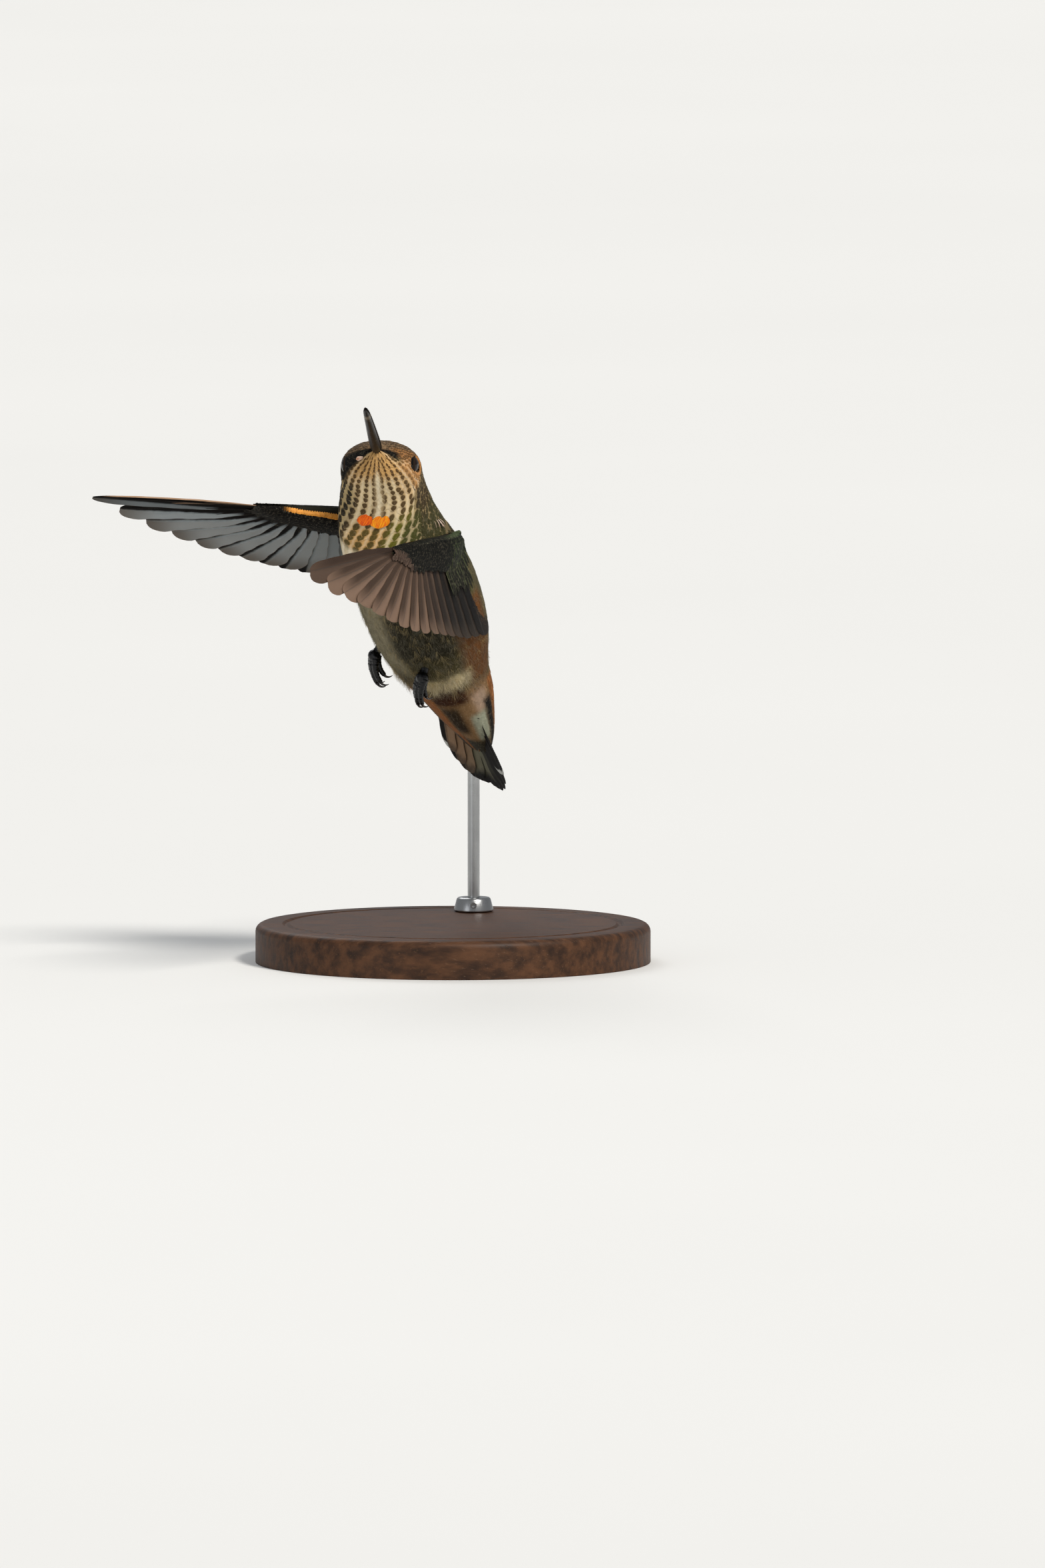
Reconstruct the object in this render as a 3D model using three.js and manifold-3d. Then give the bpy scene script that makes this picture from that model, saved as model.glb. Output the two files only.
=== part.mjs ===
// A life-size hovering hummingbird on a display stand: head turned to one side and raised, both wings
// swept forward at the end of their stroke, feet hanging with curled toes, tail nearly shut.
// Millimetres, +Z up. The origin is the middle of the stand's underside.
//
// Frames: the bird's own frame has +X to its left, +Y out of its back and +Z along the trunk to the
// head. The head's frame is like it: +X to its left, +Y to the crown and +Z along the bill.
// A wing's frame has +X from shoulder to tip, +Y out of the upper surface and +Z to the leading edge.
import * as THREE from "three";
import { mergeVertices } from "three/addons/utils/BufferGeometryUtils.js";
import Module from "manifold-3d";

const wasm = await Module();
wasm.setup();

const degrees = THREE.MathUtils.degToRad;
const { lerp, smoothstep } = THREE.MathUtils;
const vector = (x, y, z) => new THREE.Vector3(x, y, z);
const GAP = 0.25; // left between neighbouring pieces

// ---- Pose ----------------------------------------------------------------------------------------
// Directions on the stand: the bird flies up and forward, banked over to its left.
const TRUNK_AT = vector(-4, -10, 57); // middle of the trunk
const TRUNK_POINTS = vector(-0.268, -0.546, 0.796); // from tail to head
const TRUNK_LEFT = vector(0.67, -0.694, -0.25); // towards the bird's left side
const BILL_POINTS = vector(-0.098, -0.878, 0.468);
const HEAD_LEFT = vector(1, -0.09, 0.005);
// In the bird's frame, for the left wing: the right one is its mirror image, but for its pose. The
// left shoulder is raised a little.
const WING_POINTS = vector(0.332, -0.748, 0.575);
const WING_LEADS = vector(-0.327, 0.487, 0.807);
const WING_POSE = {
  left: { twist: -2, lift: 0.6, sweep: 1, shoulder: vector(9.1, 1.8, 15.3) },
  right: { twist: 15, lift: -2.5, sweep: 2.5, shoulder: vector(8.9, 0.8, 13.5) },
};

// ---- Sizes ---------------------------------------------------------------------------------------
// The body is rings on a curved spine. `at` is how far a ring is from the trunk's middle, along the
// spine; `wide` is half its width; `over` reaches to the back or crown, `under` to belly or throat.
const SPINE_TAIL_END = -31.5;
const HEAD_AT = vector(0.5, 0.28, 28.8); // middle of the head, in the bird's frame
const NECK_BEND = vector(-1.2, 0.3, 21.5); // where the spine starts to turn to the head
const FACE = 6.9; // from the middle of the head to where the bill comes out
const BODY_RINGS = [
  { name: "covert_tips", at: -31, wide: 3.4, under: 0.9, over: 1.1 },
  { name: "coverts", at: -26, wide: 4.6, under: 2.4, over: 2.6 },
  { name: "rump", at: -22, wide: 5.3, under: 3.9, over: 3.8 },
  { name: "vent", at: -18, wide: 6.0, under: 5.2, over: 4.8 },
  { name: "flank", at: -13, wide: 6.8, under: 7.0, over: 5.2 },
  { name: "belly", at: -5, wide: 8.8, under: 9.2, over: 7.2 },
  { name: "breast", at: 5, wide: 9.4, under: 9.8, over: 7.9 },
  { name: "shoulders", at: 13, wide: 8.8, under: 9.7, over: 6.7 },
  { name: "throat", at: 21, wide: 7.4, under: 8.2, over: 4.7 },
  { name: "nape", at: 25.5, wide: 6.5, under: 6.5, over: 3.9 },
  { name: "eyes", at: 29.5, wide: 6.3, under: 5.4, over: 3.5 },
  { name: "cheeks", at: 32.5, wide: 5.1, under: 4.4, over: 3.1 },
  { name: "lores", at: 34.8, wide: 3.2, under: 2.9, over: 2.4 },
  { name: "bill_base", at: 36.3, wide: 1.7, under: 1.6, over: 1.5 },
];
const HEAD_FROM = 24.5; // where head and neck part, along the spine
const NECK_FROM = 14; // where neck and trunk part
const RUMP_FROM = -17; // where trunk and tail coverts part
const BOXY = 2.4; // 2 is an oval ring, more is squarer

const EYE = { radius: 1.75, at: vector(4.35, -0.3, 0.9) };
const BILL = { long: 17, root: 3, wide: 2.3, deep: 1.15, tip: 0.42, droop: 0.5 };

const WING = { long: 47, chord: 13.6, thick: 0.6, bow: 0.03 };
const PRIMARIES = 10;
const SECONDARIES = 6;
const HAND = { from: 9.4, to: 16.6 }; // where the primaries root, along the wing
const ARM = { from: -1.5, to: 8.4 }; // where the secondaries root
const VANE_WIDE = 4.6;
const VANE_TILT = 5; // degrees that each vane is tilted, to lie over the next
const ARM_RINGS = [
  { name: "root", at: -4, lead: 1.6, trail: 4.2, thick: 1.5 },
  { name: "elbow", at: 2, lead: 1.2, trail: 4.6, thick: 1.8 },
  { name: "wrist", at: 9, lead: 1.3, trail: 3.7, thick: 1.3 },
  { name: "hand", at: 14, lead: 1.1, trail: 2.7, thick: 0.9 },
  { name: "hand_tip", at: 20, lead: 0.8, trail: 1.1, thick: 0.6 },
];

const TAIL = { from: -15, pairs: 5, long: 23.6, wide: 4.6, thick: 0.6 };
const TAIL_SWING = 2.2; // degrees that the whole tail is swung to the bird's right
const TAIL_SPREAD = 2.5; // degrees between neighbouring tail feathers
const TAIL_STEP = 0.35; // the outer pairs are shorter, by the square of their place
const TAIL_NARROWS = 0.09; // and narrower, by this share for each pair
const TAIL_STACK = 0.3; // each pair lies this much below the one inside it
const TAIL_APART = 0.45; // and roots this much further out
const TAIL_TILT = 7; // degrees that each vane is tilted, to shed over the next

const LEG = { at: vector(5.3, -7.7, -5.2), thick: 0.65, sunk: 1.6, out: 1.5 };
const LEG_POINTS = vector(0.2, -0.8, -0.56); // in the bird's frame, for the left leg
const TOE = { long: 4.9, thick: 0.56, tip: 0.36, curl: 60, apart: 0.64 };
const TOES = [
  { name: "inner", place: -1, long: 0.9, lean: -20, start: 0 },
  { name: "middle", place: 0, long: 1, lean: -24, start: 0 },
  { name: "outer", place: 1, long: 0.93, lean: -22, start: 0 },
  { name: "hind", place: 0.3, long: 0.74, lean: -14, start: 0.62 },
];
const TOE_FAN = 1.5; // degrees from one front toe to the next
const KNUCKLE = 1.0;
const CLAW = { long: 1.7, thick: 0.26, tip: 0.1, curl: 95 };
const FOOT_TURN = {
  left: { yaw: -50, pitch: 2, roll: 20 },
  right: { yaw: -62, pitch: 6, roll: 4 },
};

const STAND = { radius: 31, thick: 6, bevel: 1.2, collar: 3.2, collarHigh: 2.2 };
const ROD = { radius: 0.95, foot: vector(3.2, 20, 0), bend: 11 };
const ROD_TOP = vector(2.2, 3.0, -1); // inside the back, in the bird's frame

// ---- Solids --------------------------------------------------------------------------------------
const solidOf = (geometry) => {
  const bare = geometry.clone();
  bare.deleteAttribute("normal");
  bare.deleteAttribute("uv");
  const merged = mergeVertices(bare, 1e-4);
  const mesh = new wasm.Mesh({
    numProp: 3,
    vertProperties: merged.attributes.position.array,
    triVerts: new Uint32Array(merged.index.array),
  });
  const solid = new wasm.Manifold(mesh);
  if (solid.volume() > 0) return solid;
  mesh.triVerts.reverse(); // the faces pointed in
  return new wasm.Manifold(mesh);
};

const geometryOf = (solid) => {
  const mesh = solid.getMesh();
  const geometry = new THREE.BufferGeometry();
  geometry.setAttribute("position", new THREE.BufferAttribute(mesh.vertProperties, 3));
  geometry.setIndex(new THREE.BufferAttribute(mesh.triVerts, 1));
  const shaded = geometry.toNonIndexed();
  shaded.computeVertexNormals();
  return shaded;
};

const unionOf = (solids) => solids.reduce((sum, solid) => sum.add(solid));

// The largest of the bodies that a cut leaves: slivers are dropped.
const mainBody = (solid) =>
  solid.decompose().reduce((best, body) => (body.volume() > best.volume() ? body : best));

// A closed skin through rings. place(along, turn) gives the point that lies `along` from 0 to 1 and
// `turn` round the ring. Both ends must close to a point.
const loft = (rings, sides, place) => {
  const geometry = new THREE.SphereGeometry(1, sides, rings);
  const position = geometry.attributes.position;
  const uv = geometry.attributes.uv;
  for (let i = 0; i < position.count; i++) {
    const point = place(1 - uv.getY(i), uv.getX(i) * 2 * Math.PI);
    position.setXYZ(i, point.x, point.y, point.z);
  }
  return geometry;
};

// Sizes between named rings, from a smooth curve through them.
const sizesBetween = (rings, keys) => {
  const ordered = [...rings].sort((a, b) => a.at - b.at);
  const curve = new THREE.CubicInterpolant(
    ordered.map((ring) => ring.at),
    ordered.flatMap((ring) => keys.map((key) => ring[key])),
    keys.length,
  );
  return (at) => {
    const values = curve.evaluate(at);
    return Object.fromEntries(keys.map((key, i) => [key, values[i]]));
  };
};

// A half-space as a big box: all that lies beyond `distance` along `direction`.
const FAR = 300;
const beyond = (direction, distance) => {
  const box = new THREE.BoxGeometry(FAR, FAR, FAR);
  const turn = new THREE.Quaternion().setFromUnitVectors(vector(0, 0, 1), direction);
  box.translate(0, 0, distance + FAR / 2);
  box.applyQuaternion(turn);
  return solidOf(box);
};

// A round bar through points, its radius set by how far along it is.
const bar = (curve, rings, sides, radius) => {
  const frames = curve.computeFrenetFrames(rings, false);
  return loft(rings, sides, (along, turn) => {
    const step = Math.round(along * rings);
    const swell = step === 0 || step === rings ? 0 : radius(along);
    return curve
      .getPointAt(along)
      .addScaledVector(frames.normals[step], Math.cos(turn) * swell)
      .addScaledVector(frames.binormals[step], Math.sin(turn) * swell);
  });
};

// ---- Materials -----------------------------------------------------------------------------------
const finish = (color, roughness, metalness) =>
  new THREE.MeshStandardMaterial({ color, roughness, metalness });
const CROWN = finish(0x5d4a30, 0.8, 0);
const THROAT = finish(0xb9a583, 0.8, 0);
const BELLY = finish(0x8c8268, 0.85, 0);
const RUFOUS = finish(0x9a5a2a, 0.85, 0);
const WING_DARK = finish(0x2b3328, 0.6, 0.1);
const WING_DUSKY = finish(0x54463f, 0.6, 0);
const TAIL_BLACK = finish(0x3a2b20, 0.65, 0);
const HORN = finish(0x14120f, 0.35, 0);
const EYE_BLACK = finish(0x0a0706, 0.08, 0);
const STAND_WOOD = finish(0x2b1d14, 0.4, 0);
const STAND_STEEL = finish(0x9a9a98, 0.3, 0.9);

// ---- Groups --------------------------------------------------------------------------------------
// A frame whose +Z is `points` and whose +X is as near to `left` as can be.
const frameOf = (points, left) => {
  const z = points.clone().normalize();
  const y = z.clone().cross(left).normalize();
  return new THREE.Quaternion().setFromRotationMatrix(
    new THREE.Matrix4().makeBasis(y.clone().cross(z), y, z),
  );
};

const model = new THREE.Group();
const bird = new THREE.Group();
bird.position.copy(TRUNK_AT);
bird.quaternion.copy(frameOf(TRUNK_POINTS, TRUNK_LEFT));
bird.updateMatrix();
model.add(bird);

const fromWorld = bird.quaternion.clone().invert();
const head = new THREE.Group();
head.position.copy(HEAD_AT);
head.quaternion.copy(fromWorld).multiply(frameOf(BILL_POINTS, HEAD_LEFT));
head.updateMatrix();
bird.add(head);

const addPiece = (group, name, solid, material) => {
  const mesh = new THREE.Mesh(geometryOf(solid), material);
  mesh.name = name;
  group.add(mesh);
};
const inBird = (geometry, matrix) => geometry.clone().applyMatrix4(matrix);

// ---- Flesh: head, neck, trunk and tail coverts ---------------------------------------------------
// The spine runs straight up the trunk, and bends into the line of the bill at the neck.
const billLine = vector(0, 0, 1).applyQuaternion(head.quaternion);
const spine = new THREE.CatmullRomCurve3(
  [
    vector(0, 0, SPINE_TAIL_END),
    vector(0, 0, -16),
    vector(0, 0, 0),
    vector(0, 0, 13),
    NECK_BEND,
    HEAD_AT,
    HEAD_AT.clone().addScaledVector(billLine, FACE),
  ],
  false,
  "centripetal",
);
const spineLong = spine.getLength();
const spineShare = (at) => (at - SPINE_TAIL_END) / spineLong;
const bodySizes = sizesBetween(BODY_RINGS, ["wide", "over", "under"]);
const noTurn = new THREE.Quaternion();
const boxy = (value) => Math.sign(value) * Math.pow(Math.abs(value), 2 / BOXY);
const BODY_STEPS = 31;
const BODY_SIDES = 18;
const END_ROUND = 12; // how sharply both ends close

const bodyWhole = (grow) =>
  loft(BODY_STEPS, BODY_SIDES, (along, turn) => {
    const at = SPINE_TAIL_END + (1 - along) * spineLong;
    const sizes = bodySizes(at);
    const close = Math.sqrt(Math.max(0, 1 - Math.pow(Math.abs(2 * along - 1), END_ROUND)));
    const depth = Math.sin(turn) > 0 ? sizes.over : sizes.under;
    const ring = noTurn.clone().slerp(head.quaternion, smoothstep(at, NECK_FROM, HEAD_AT.z));
    return vector(
      boxy(Math.cos(turn)) * (sizes.wide + grow) * close,
      boxy(Math.sin(turn)) * (depth + grow) * close,
      grow * (1 - 2 * along),
    )
      .applyQuaternion(ring)
      .add(spine.getPointAt(1 - along));
  });

const eyeBall = (side, grow) => {
  const ball = new THREE.SphereGeometry(EYE.radius + grow, 14, 8);
  ball.rotateZ(Math.PI / 2);
  ball.translate(side * EYE.at.x, EYE.at.y, EYE.at.z);
  return ball;
};

// The bill: the upper half is deeper than the lower one, and both droop a little to the tip.
const BILL_STEPS = 9;
const BILL_SIDES = 10;
const billHalf = (upper, grow) =>
  loft(BILL_STEPS, BILL_SIDES, (along, turn) => {
    const reach = BILL.root + BILL.long * (upper ? 1 : 0.97);
    const taper = Math.pow(1 - along, 0.8);
    const open = Math.min(1, along * 8) * Math.sqrt(Math.min(1, (1 - along) * 8));
    const wide = lerp(BILL.tip, (BILL.wide / 2) * (upper ? 1 : 0.84), taper);
    const deep = lerp(BILL.tip, BILL.deep * (upper ? 1 : 0.72), taper);
    const rise = Math.max(0, Math.sin(turn)) * deep + grow * Math.sin(turn);
    const half = upper ? 1 : -1;
    return vector(
      half * Math.cos(turn) * (wide + grow) * open,
      -BILL.droop * along * along + half * (GAP / 4 + rise * open),
      FACE - BILL.root + reach * along + (along > 0.5 ? grow : -grow),
    );
  });

const bodySolid = solidOf(bodyWhole(0));
const bodyGrown = solidOf(bodyWhole(GAP));
const headHoles = [
  eyeBall(1, GAP),
  eyeBall(-1, GAP),
  billHalf(true, GAP),
  billHalf(false, GAP),
].map((geometry) => solidOf(inBird(geometry, head.matrix)));
const flesh = bodySolid.subtract(unionOf(headHoles));

// The flesh is parted by planes square to the spine.
const planeAt = (at) => {
  const facing = spine.getTangentAt(spineShare(at));
  return { facing, distance: spine.getPointAt(spineShare(at)).dot(facing) };
};
const above = (solid, { facing, distance }) => solid.intersect(beyond(facing, distance));
const below = (solid, { facing, distance }) =>
  solid.intersect(beyond(facing.clone().negate(), GAP - distance));

const headPlane = planeAt(HEAD_FROM);
const neckPlane = planeAt(NECK_FROM);
const rumpPlane = planeAt(RUMP_FROM);
const headPiece = above(flesh, headPlane);
const neckPiece = above(below(flesh, headPlane), neckPlane);
const trunkPiece = above(below(flesh, neckPlane), rumpPlane);

// ---- Tail: five pairs of feathers, shut, the middle pair uppermost -----------------------------------
// A vane runs along +X from its root. It is widest near the tip and its edge behind the shaft is wider.
const VANE_STEPS = 5;
const HEX_HALF = 1 / Math.sqrt(3); // gives a six-sided vane its full thickness
const vaneWidth = (along, tipRound) => {
  const opening = Math.pow(Math.min(1, along / 0.4), 0.6);
  const past = Math.max(0, (along - tipRound) / (1 - tipRound));
  return opening * Math.sqrt(Math.max(0, 1 - past * past));
};

const vane = ({ long, lead, trail, thick, bow = 0, cup = 0, tipRound = 0.8 }) =>
  loft(VANE_STEPS, 6, (step, turn) => {
    const along = Math.sin((step * Math.PI) / 2); // closer together at the tip
    const across = Math.cos(turn);
    const full = vaneWidth(along, tipRound);
    const body = Math.min(1, full * 3);
    return vector(
      along * long,
      (Math.sin(turn) * thick * HEX_HALF - cup * across * across) * body + bow * along * along,
      across * full * (across > 0 ? lead : trail),
    );
  });

const tailFeather = (side, pair) => {
  const wide = TAIL.wide * (1 - TAIL_NARROWS * pair);
  const feather = vane({
    long: TAIL.long - TAIL_STEP * pair * pair,
    lead: wide * 0.4,
    trail: wide * 0.6,
    thick: TAIL.thick,
    cup: 0.12,
    tipRound: 0.62,
  });
  feather.rotateX(degrees(TAIL_TILT));
  feather.scale(1, 1, side);
  feather.rotateY(degrees(-side * TAIL_SPREAD * (pair + 0.5)));
  feather.translate(0, -TAIL_STACK * pair, side * (0.9 + TAIL_APART * pair));
  // From the vane's own frame to the bird's: its length runs down the trunk, its width across it.
  feather.applyMatrix4(
    new THREE.Matrix4().makeBasis(vector(0, 0, -1), vector(0, 1, 0), vector(1, 0, 0)),
  );
  feather.rotateY(degrees(TAIL_SWING));
  feather.translate(0, TAIL_STACK, TAIL.from);
  return solidOf(feather);
};

const tailSolids = [];
for (let pair = 0; pair < TAIL.pairs; pair++) {
  for (const side of [1, -1]) tailSolids.push(tailFeather(side, pair));
}
const tailWhole = unionOf(tailSolids);
const rumpPiece = below(flesh, rumpPlane);
const tailPiece = mainBody(tailWhole.subtract(bodyGrown));

// ---- Legs: a short shank, four toes and their claws ----------------------------------------------
// Toes hang from the end of the shank along -Z and curl towards +Y.
const curled = (long, curl, lean, start) => {
  const points = [];
  const steps = 8;
  const place = start.clone();
  for (let i = 0; i <= steps; i++) {
    points.push(place.clone());
    const bend = degrees(lean + (curl * i) / steps);
    place.add(vector(0, Math.sin(bend), -Math.cos(bend)).multiplyScalar(long / steps));
  }
  return new THREE.CatmullRomCurve3(points);
};

const toeParts = (toe) => {
  const curve = curled(TOE.long * toe.long, TOE.curl, toe.lean, vector(0, toe.start, 0));
  const heading = curve.getTangentAt(1);
  const lean = THREE.MathUtils.radToDeg(Math.atan2(heading.y, -heading.z));
  const skin = bar(curve, 6, 6, (along) => lerp(TOE.thick, TOE.tip, along));
  const clawStart = curve.getPointAt(1).addScaledVector(heading, -0.2);
  const claw = bar(curled(CLAW.long, CLAW.curl, lean - 15, clawStart), 5, 6, (along) =>
    lerp(CLAW.thick, CLAW.tip, along),
  );
  for (const part of [skin, claw]) {
    part.rotateY(degrees(-TOE_FAN * toe.place));
    part.translate(TOE.apart * toe.place, 0, 0);
  }
  return { skin, claw };
};

const addLeg = (group, sideName) => {
  const pose = FOOT_TURN[sideName];
  const mirror = sideName === "left" ? vector(1, 1, 1) : vector(-1, 1, 1);
  const hip = LEG.at.clone().multiply(mirror);
  const outward = LEG_POINTS.clone().multiply(mirror).normalize();
  const ankle = hip.clone().addScaledVector(outward, LEG.out);
  const shankLine = new THREE.LineCurve3(
    hip.clone().addScaledVector(outward, -LEG.sunk),
    ankle.clone().addScaledVector(outward, 0.3),
  );
  const turn = new THREE.Euler(degrees(pose.pitch), degrees(pose.roll), degrees(pose.yaw), "ZXY");
  const footTurn = fromWorld.clone().multiply(new THREE.Quaternion().setFromEuler(turn));
  const footMatrix = new THREE.Matrix4().compose(ankle, footTurn, vector(1, 1, 1));
  const footSolid = (geometry) => solidOf(inBird(geometry, footMatrix));
  const knuckle = (grow) => footSolid(new THREE.SphereGeometry(KNUCKLE + grow, 10, 8));

  const parts = TOES.map(toeParts);
  const foot = unionOf(parts.map((part) => footSolid(part.skin))).add(knuckle(0));
  const footPiece = mainBody(foot.subtract(bodyGrown));
  const shankWhole = solidOf(bar(shankLine, 6, 8, () => LEG.thick));
  const shank = shankWhole.subtract(bodyGrown).subtract(foot.add(knuckle(GAP)));
  addPiece(group, `leg_${sideName}`, mainBody(shank), HORN);
  addPiece(group, `foot_${sideName}`, footPiece, HORN);
  TOES.forEach((toe, i) => {
    const claw = footSolid(parts[i].claw).subtract(footPiece).subtract(bodyGrown);
    addPiece(group, `claw_${sideName}_${toe.name}`, mainBody(claw), HORN);
  });
};

// ---- Wings: the arm under its coverts, and the flight feathers ---------------------------------------
const armSizes = sizesBetween(ARM_RINGS, ["lead", "trail", "thick"]);
const ARM_SPAN = { from: -4.4, to: 21 };

const armWhole = (grow) =>
  loft(10, 10, (along, turn) => {
    const at = lerp(ARM_SPAN.from - grow, ARM_SPAN.to + grow, along);
    const sizes = armSizes(at);
    const close = Math.sqrt(Math.max(0, 1 - Math.pow(Math.abs(2 * along - 1), 6)));
    const across = Math.cos(turn);
    return vector(
      at,
      Math.sin(turn) * (sizes.thick + grow) * close * (across > 0 ? 1 : 1 - 0.5 * across * across),
      across * ((across > 0 ? sizes.lead : sizes.trail) + grow) * close,
    );
  });

// Feather tips lie on a curve from the wing tip round to the innermost secondary. The hand's feathers
// stand apart most at the tip, and the arm's are evenly spaced.
const TIP_TURN = 9.4; // degrees of a quarter turn from one primary to the next
const HAND_STEP = 5.6; // along the wing, from the outer tip to the next
const HAND_CLOSING = 0.11; // and how this step shrinks
const ARM_STEP = 2.9;
const TIP_DROP = 0.4; // how far the outer tip lies behind the wing's own axis
const ARM_DROP = 0.45; // how much further back each of the arm's outer feathers reaches
const tipPlace = (index) => {
  const hand = Math.min(index, PRIMARIES - 1);
  const arm = index - hand;
  return vector(
    WING.long - HAND_STEP * hand + HAND_CLOSING * hand * hand - ARM_STEP * arm,
    0,
    -TIP_DROP - WING.chord * Math.sin(degrees(TIP_TURN * hand)) - ARM_DROP * Math.min(arm, 4),
  );
};
const rootPlace = (index) => {
  if (index < PRIMARIES) {
    const inner = index / (PRIMARIES - 1);
    return vector(lerp(HAND.to, HAND.from, inner), 0, lerp(0.4, -0.4, inner));
  }
  return vector(lerp(ARM.to, ARM.from, (index - PRIMARIES) / (SECONDARIES - 1)), 0, -0.8);
};

const flightFeather = (index) => {
  const root = rootPlace(index);
  const run = tipPlace(index).sub(root);
  const long = run.length();
  const slender = index === 0 ? 0.5 : index === 1 ? 0.8 : 1;
  const feather = vane({
    long,
    lead: VANE_WIDE * 0.34 * slender,
    trail: VANE_WIDE * 0.66 * slender,
    thick: WING.thick,
    bow: -long * WING.bow,
    cup: 0.1,
    tipRound: index === 0 ? 0.62 : 0.82,
  });
  feather.rotateX(degrees(VANE_TILT));
  feather.rotateY(Math.atan2(-run.z, run.x));
  feather.translate(root.x, 0, root.z);
  return solidOf(feather);
};

const addWing = (sideName) => {
  const side = sideName === "left" ? 1 : -1;
  const pose = WING_POSE[sideName];
  const mirror = new THREE.Group();
  mirror.scale.x = side;
  const wing = new THREE.Group();
  wing.position.copy(pose.shoulder);
  const posed = new THREE.Euler(
    degrees(pose.twist),
    degrees(-pose.lift),
    degrees(pose.sweep),
    "YZX",
  );
  wing.quaternion
    .copy(frameOf(WING_LEADS, WING_POINTS))
    .multiply(new THREE.Quaternion().setFromEuler(posed));
  mirror.add(wing);
  bird.add(mirror);
  model.updateMatrixWorld(true);

  // The body as the wing sees it, to cut the arm and feathers clear of it.
  const toWing = wing.matrixWorld.clone().invert().multiply(bird.matrixWorld);
  const body = solidOf(inBird(bodyWhole(GAP), toWing));

  const feathers = [];
  for (let i = 0; i < PRIMARIES + SECONDARIES; i++) feathers.push(flightFeather(i));
  const fan = unionOf(feathers).subtract(solidOf(armWhole(GAP))).subtract(body);
  const facing = vector(1, 0, 0.02).normalize();
  const distance = ((HAND.from + ARM.to) / 2) * facing.x;
  const arm = mainBody(solidOf(armWhole(0)).subtract(body));
  addPiece(wing, `wing_${sideName}_arm`, arm, WING_DARK);
  const primaries = mainBody(above(fan, { facing, distance }));
  const secondaries = mainBody(below(fan, { facing, distance }));
  addPiece(wing, `wing_${sideName}_primaries`, primaries, WING_DUSKY);
  addPiece(wing, `wing_${sideName}_secondaries`, secondaries, WING_DUSKY);
};

// ---- Stand: a turned disc with a collar, and one bent rod into the back ------------------------------
const addStand = () => {
  const edge = STAND.radius - STAND.bevel;
  const profile = [
    [0, 0],
    [STAND.radius, 0],
    [STAND.radius, STAND.thick - STAND.bevel],
    [edge, STAND.thick],
    [0, STAND.thick],
  ].map(([r, z]) => new THREE.Vector2(r, z));
  const disc = new THREE.LatheGeometry(profile, 40);
  disc.rotateX(Math.PI / 2);
  const collar = new THREE.CylinderGeometry(STAND.collar * 0.8, STAND.collar, STAND.collarHigh, 18);
  collar.rotateX(Math.PI / 2);
  collar.translate(ROD.foot.x, ROD.foot.y, STAND.thick + STAND.collarHigh / 2 + 0.1);

  const top = ROD_TOP.clone().applyMatrix4(bird.matrix);
  const knee = vector(ROD.foot.x, ROD.foot.y, top.z);
  const inward = top.clone().sub(knee).normalize();
  const path = new THREE.CurvePath();
  const foot = vector(ROD.foot.x, ROD.foot.y, STAND.thick - 2);
  const bendFrom = knee.clone().add(vector(0, 0, -ROD.bend));
  const bendTo = knee.clone().addScaledVector(inward, ROD.bend);
  path.add(new THREE.LineCurve3(foot, bendFrom));
  path.add(new THREE.QuadraticBezierCurve3(bendFrom, knee, bendTo));
  path.add(new THREE.LineCurve3(bendTo, top));
  const section = (radius) => new THREE.Shape().absarc(0, 0, radius, 0, Math.PI * 2);
  const rodOf = (radius) =>
    solidOf(
      new THREE.ExtrudeGeometry(section(radius), {
        extrudePath: path,
        steps: 16,
        curveSegments: 4,
      }),
    );
  const rodHole = rodOf(ROD.radius + GAP);
  const bodyHere = solidOf(inBird(bodyWhole(GAP), bird.matrix));
  const rod = mainBody(rodOf(ROD.radius).subtract(bodyHere));
  addPiece(model, "stand_base", solidOf(disc).subtract(rodHole), STAND_WOOD);
  addPiece(model, "stand_collar", solidOf(collar).subtract(rodHole), STAND_STEEL);
  addPiece(model, "stand_rod", rod, STAND_STEEL);
};

// ---- Assembly ------------------------------------------------------------------------------------
addPiece(bird, "head", headPiece, CROWN);
addPiece(bird, "neck", mainBody(neckPiece), THROAT);
addPiece(bird, "trunk", trunkPiece, BELLY);
addPiece(bird, "rump", rumpPiece, RUFOUS);
addPiece(bird, "tail_feathers", tailPiece, TAIL_BLACK);
addPiece(head, "bill_upper", solidOf(billHalf(true, 0)), HORN);
addPiece(head, "bill_lower", solidOf(billHalf(false, 0)), HORN);
addPiece(head, "eye_left", solidOf(eyeBall(1, 0)), EYE_BLACK);
addPiece(head, "eye_right", solidOf(eyeBall(-1, 0)), EYE_BLACK);
addLeg(bird, "left");
addLeg(bird, "right");
addWing("left");
addWing("right");
addStand();

export default model;
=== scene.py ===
import math

import bpy
import numpy as np
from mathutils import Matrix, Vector, kdtree


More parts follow.
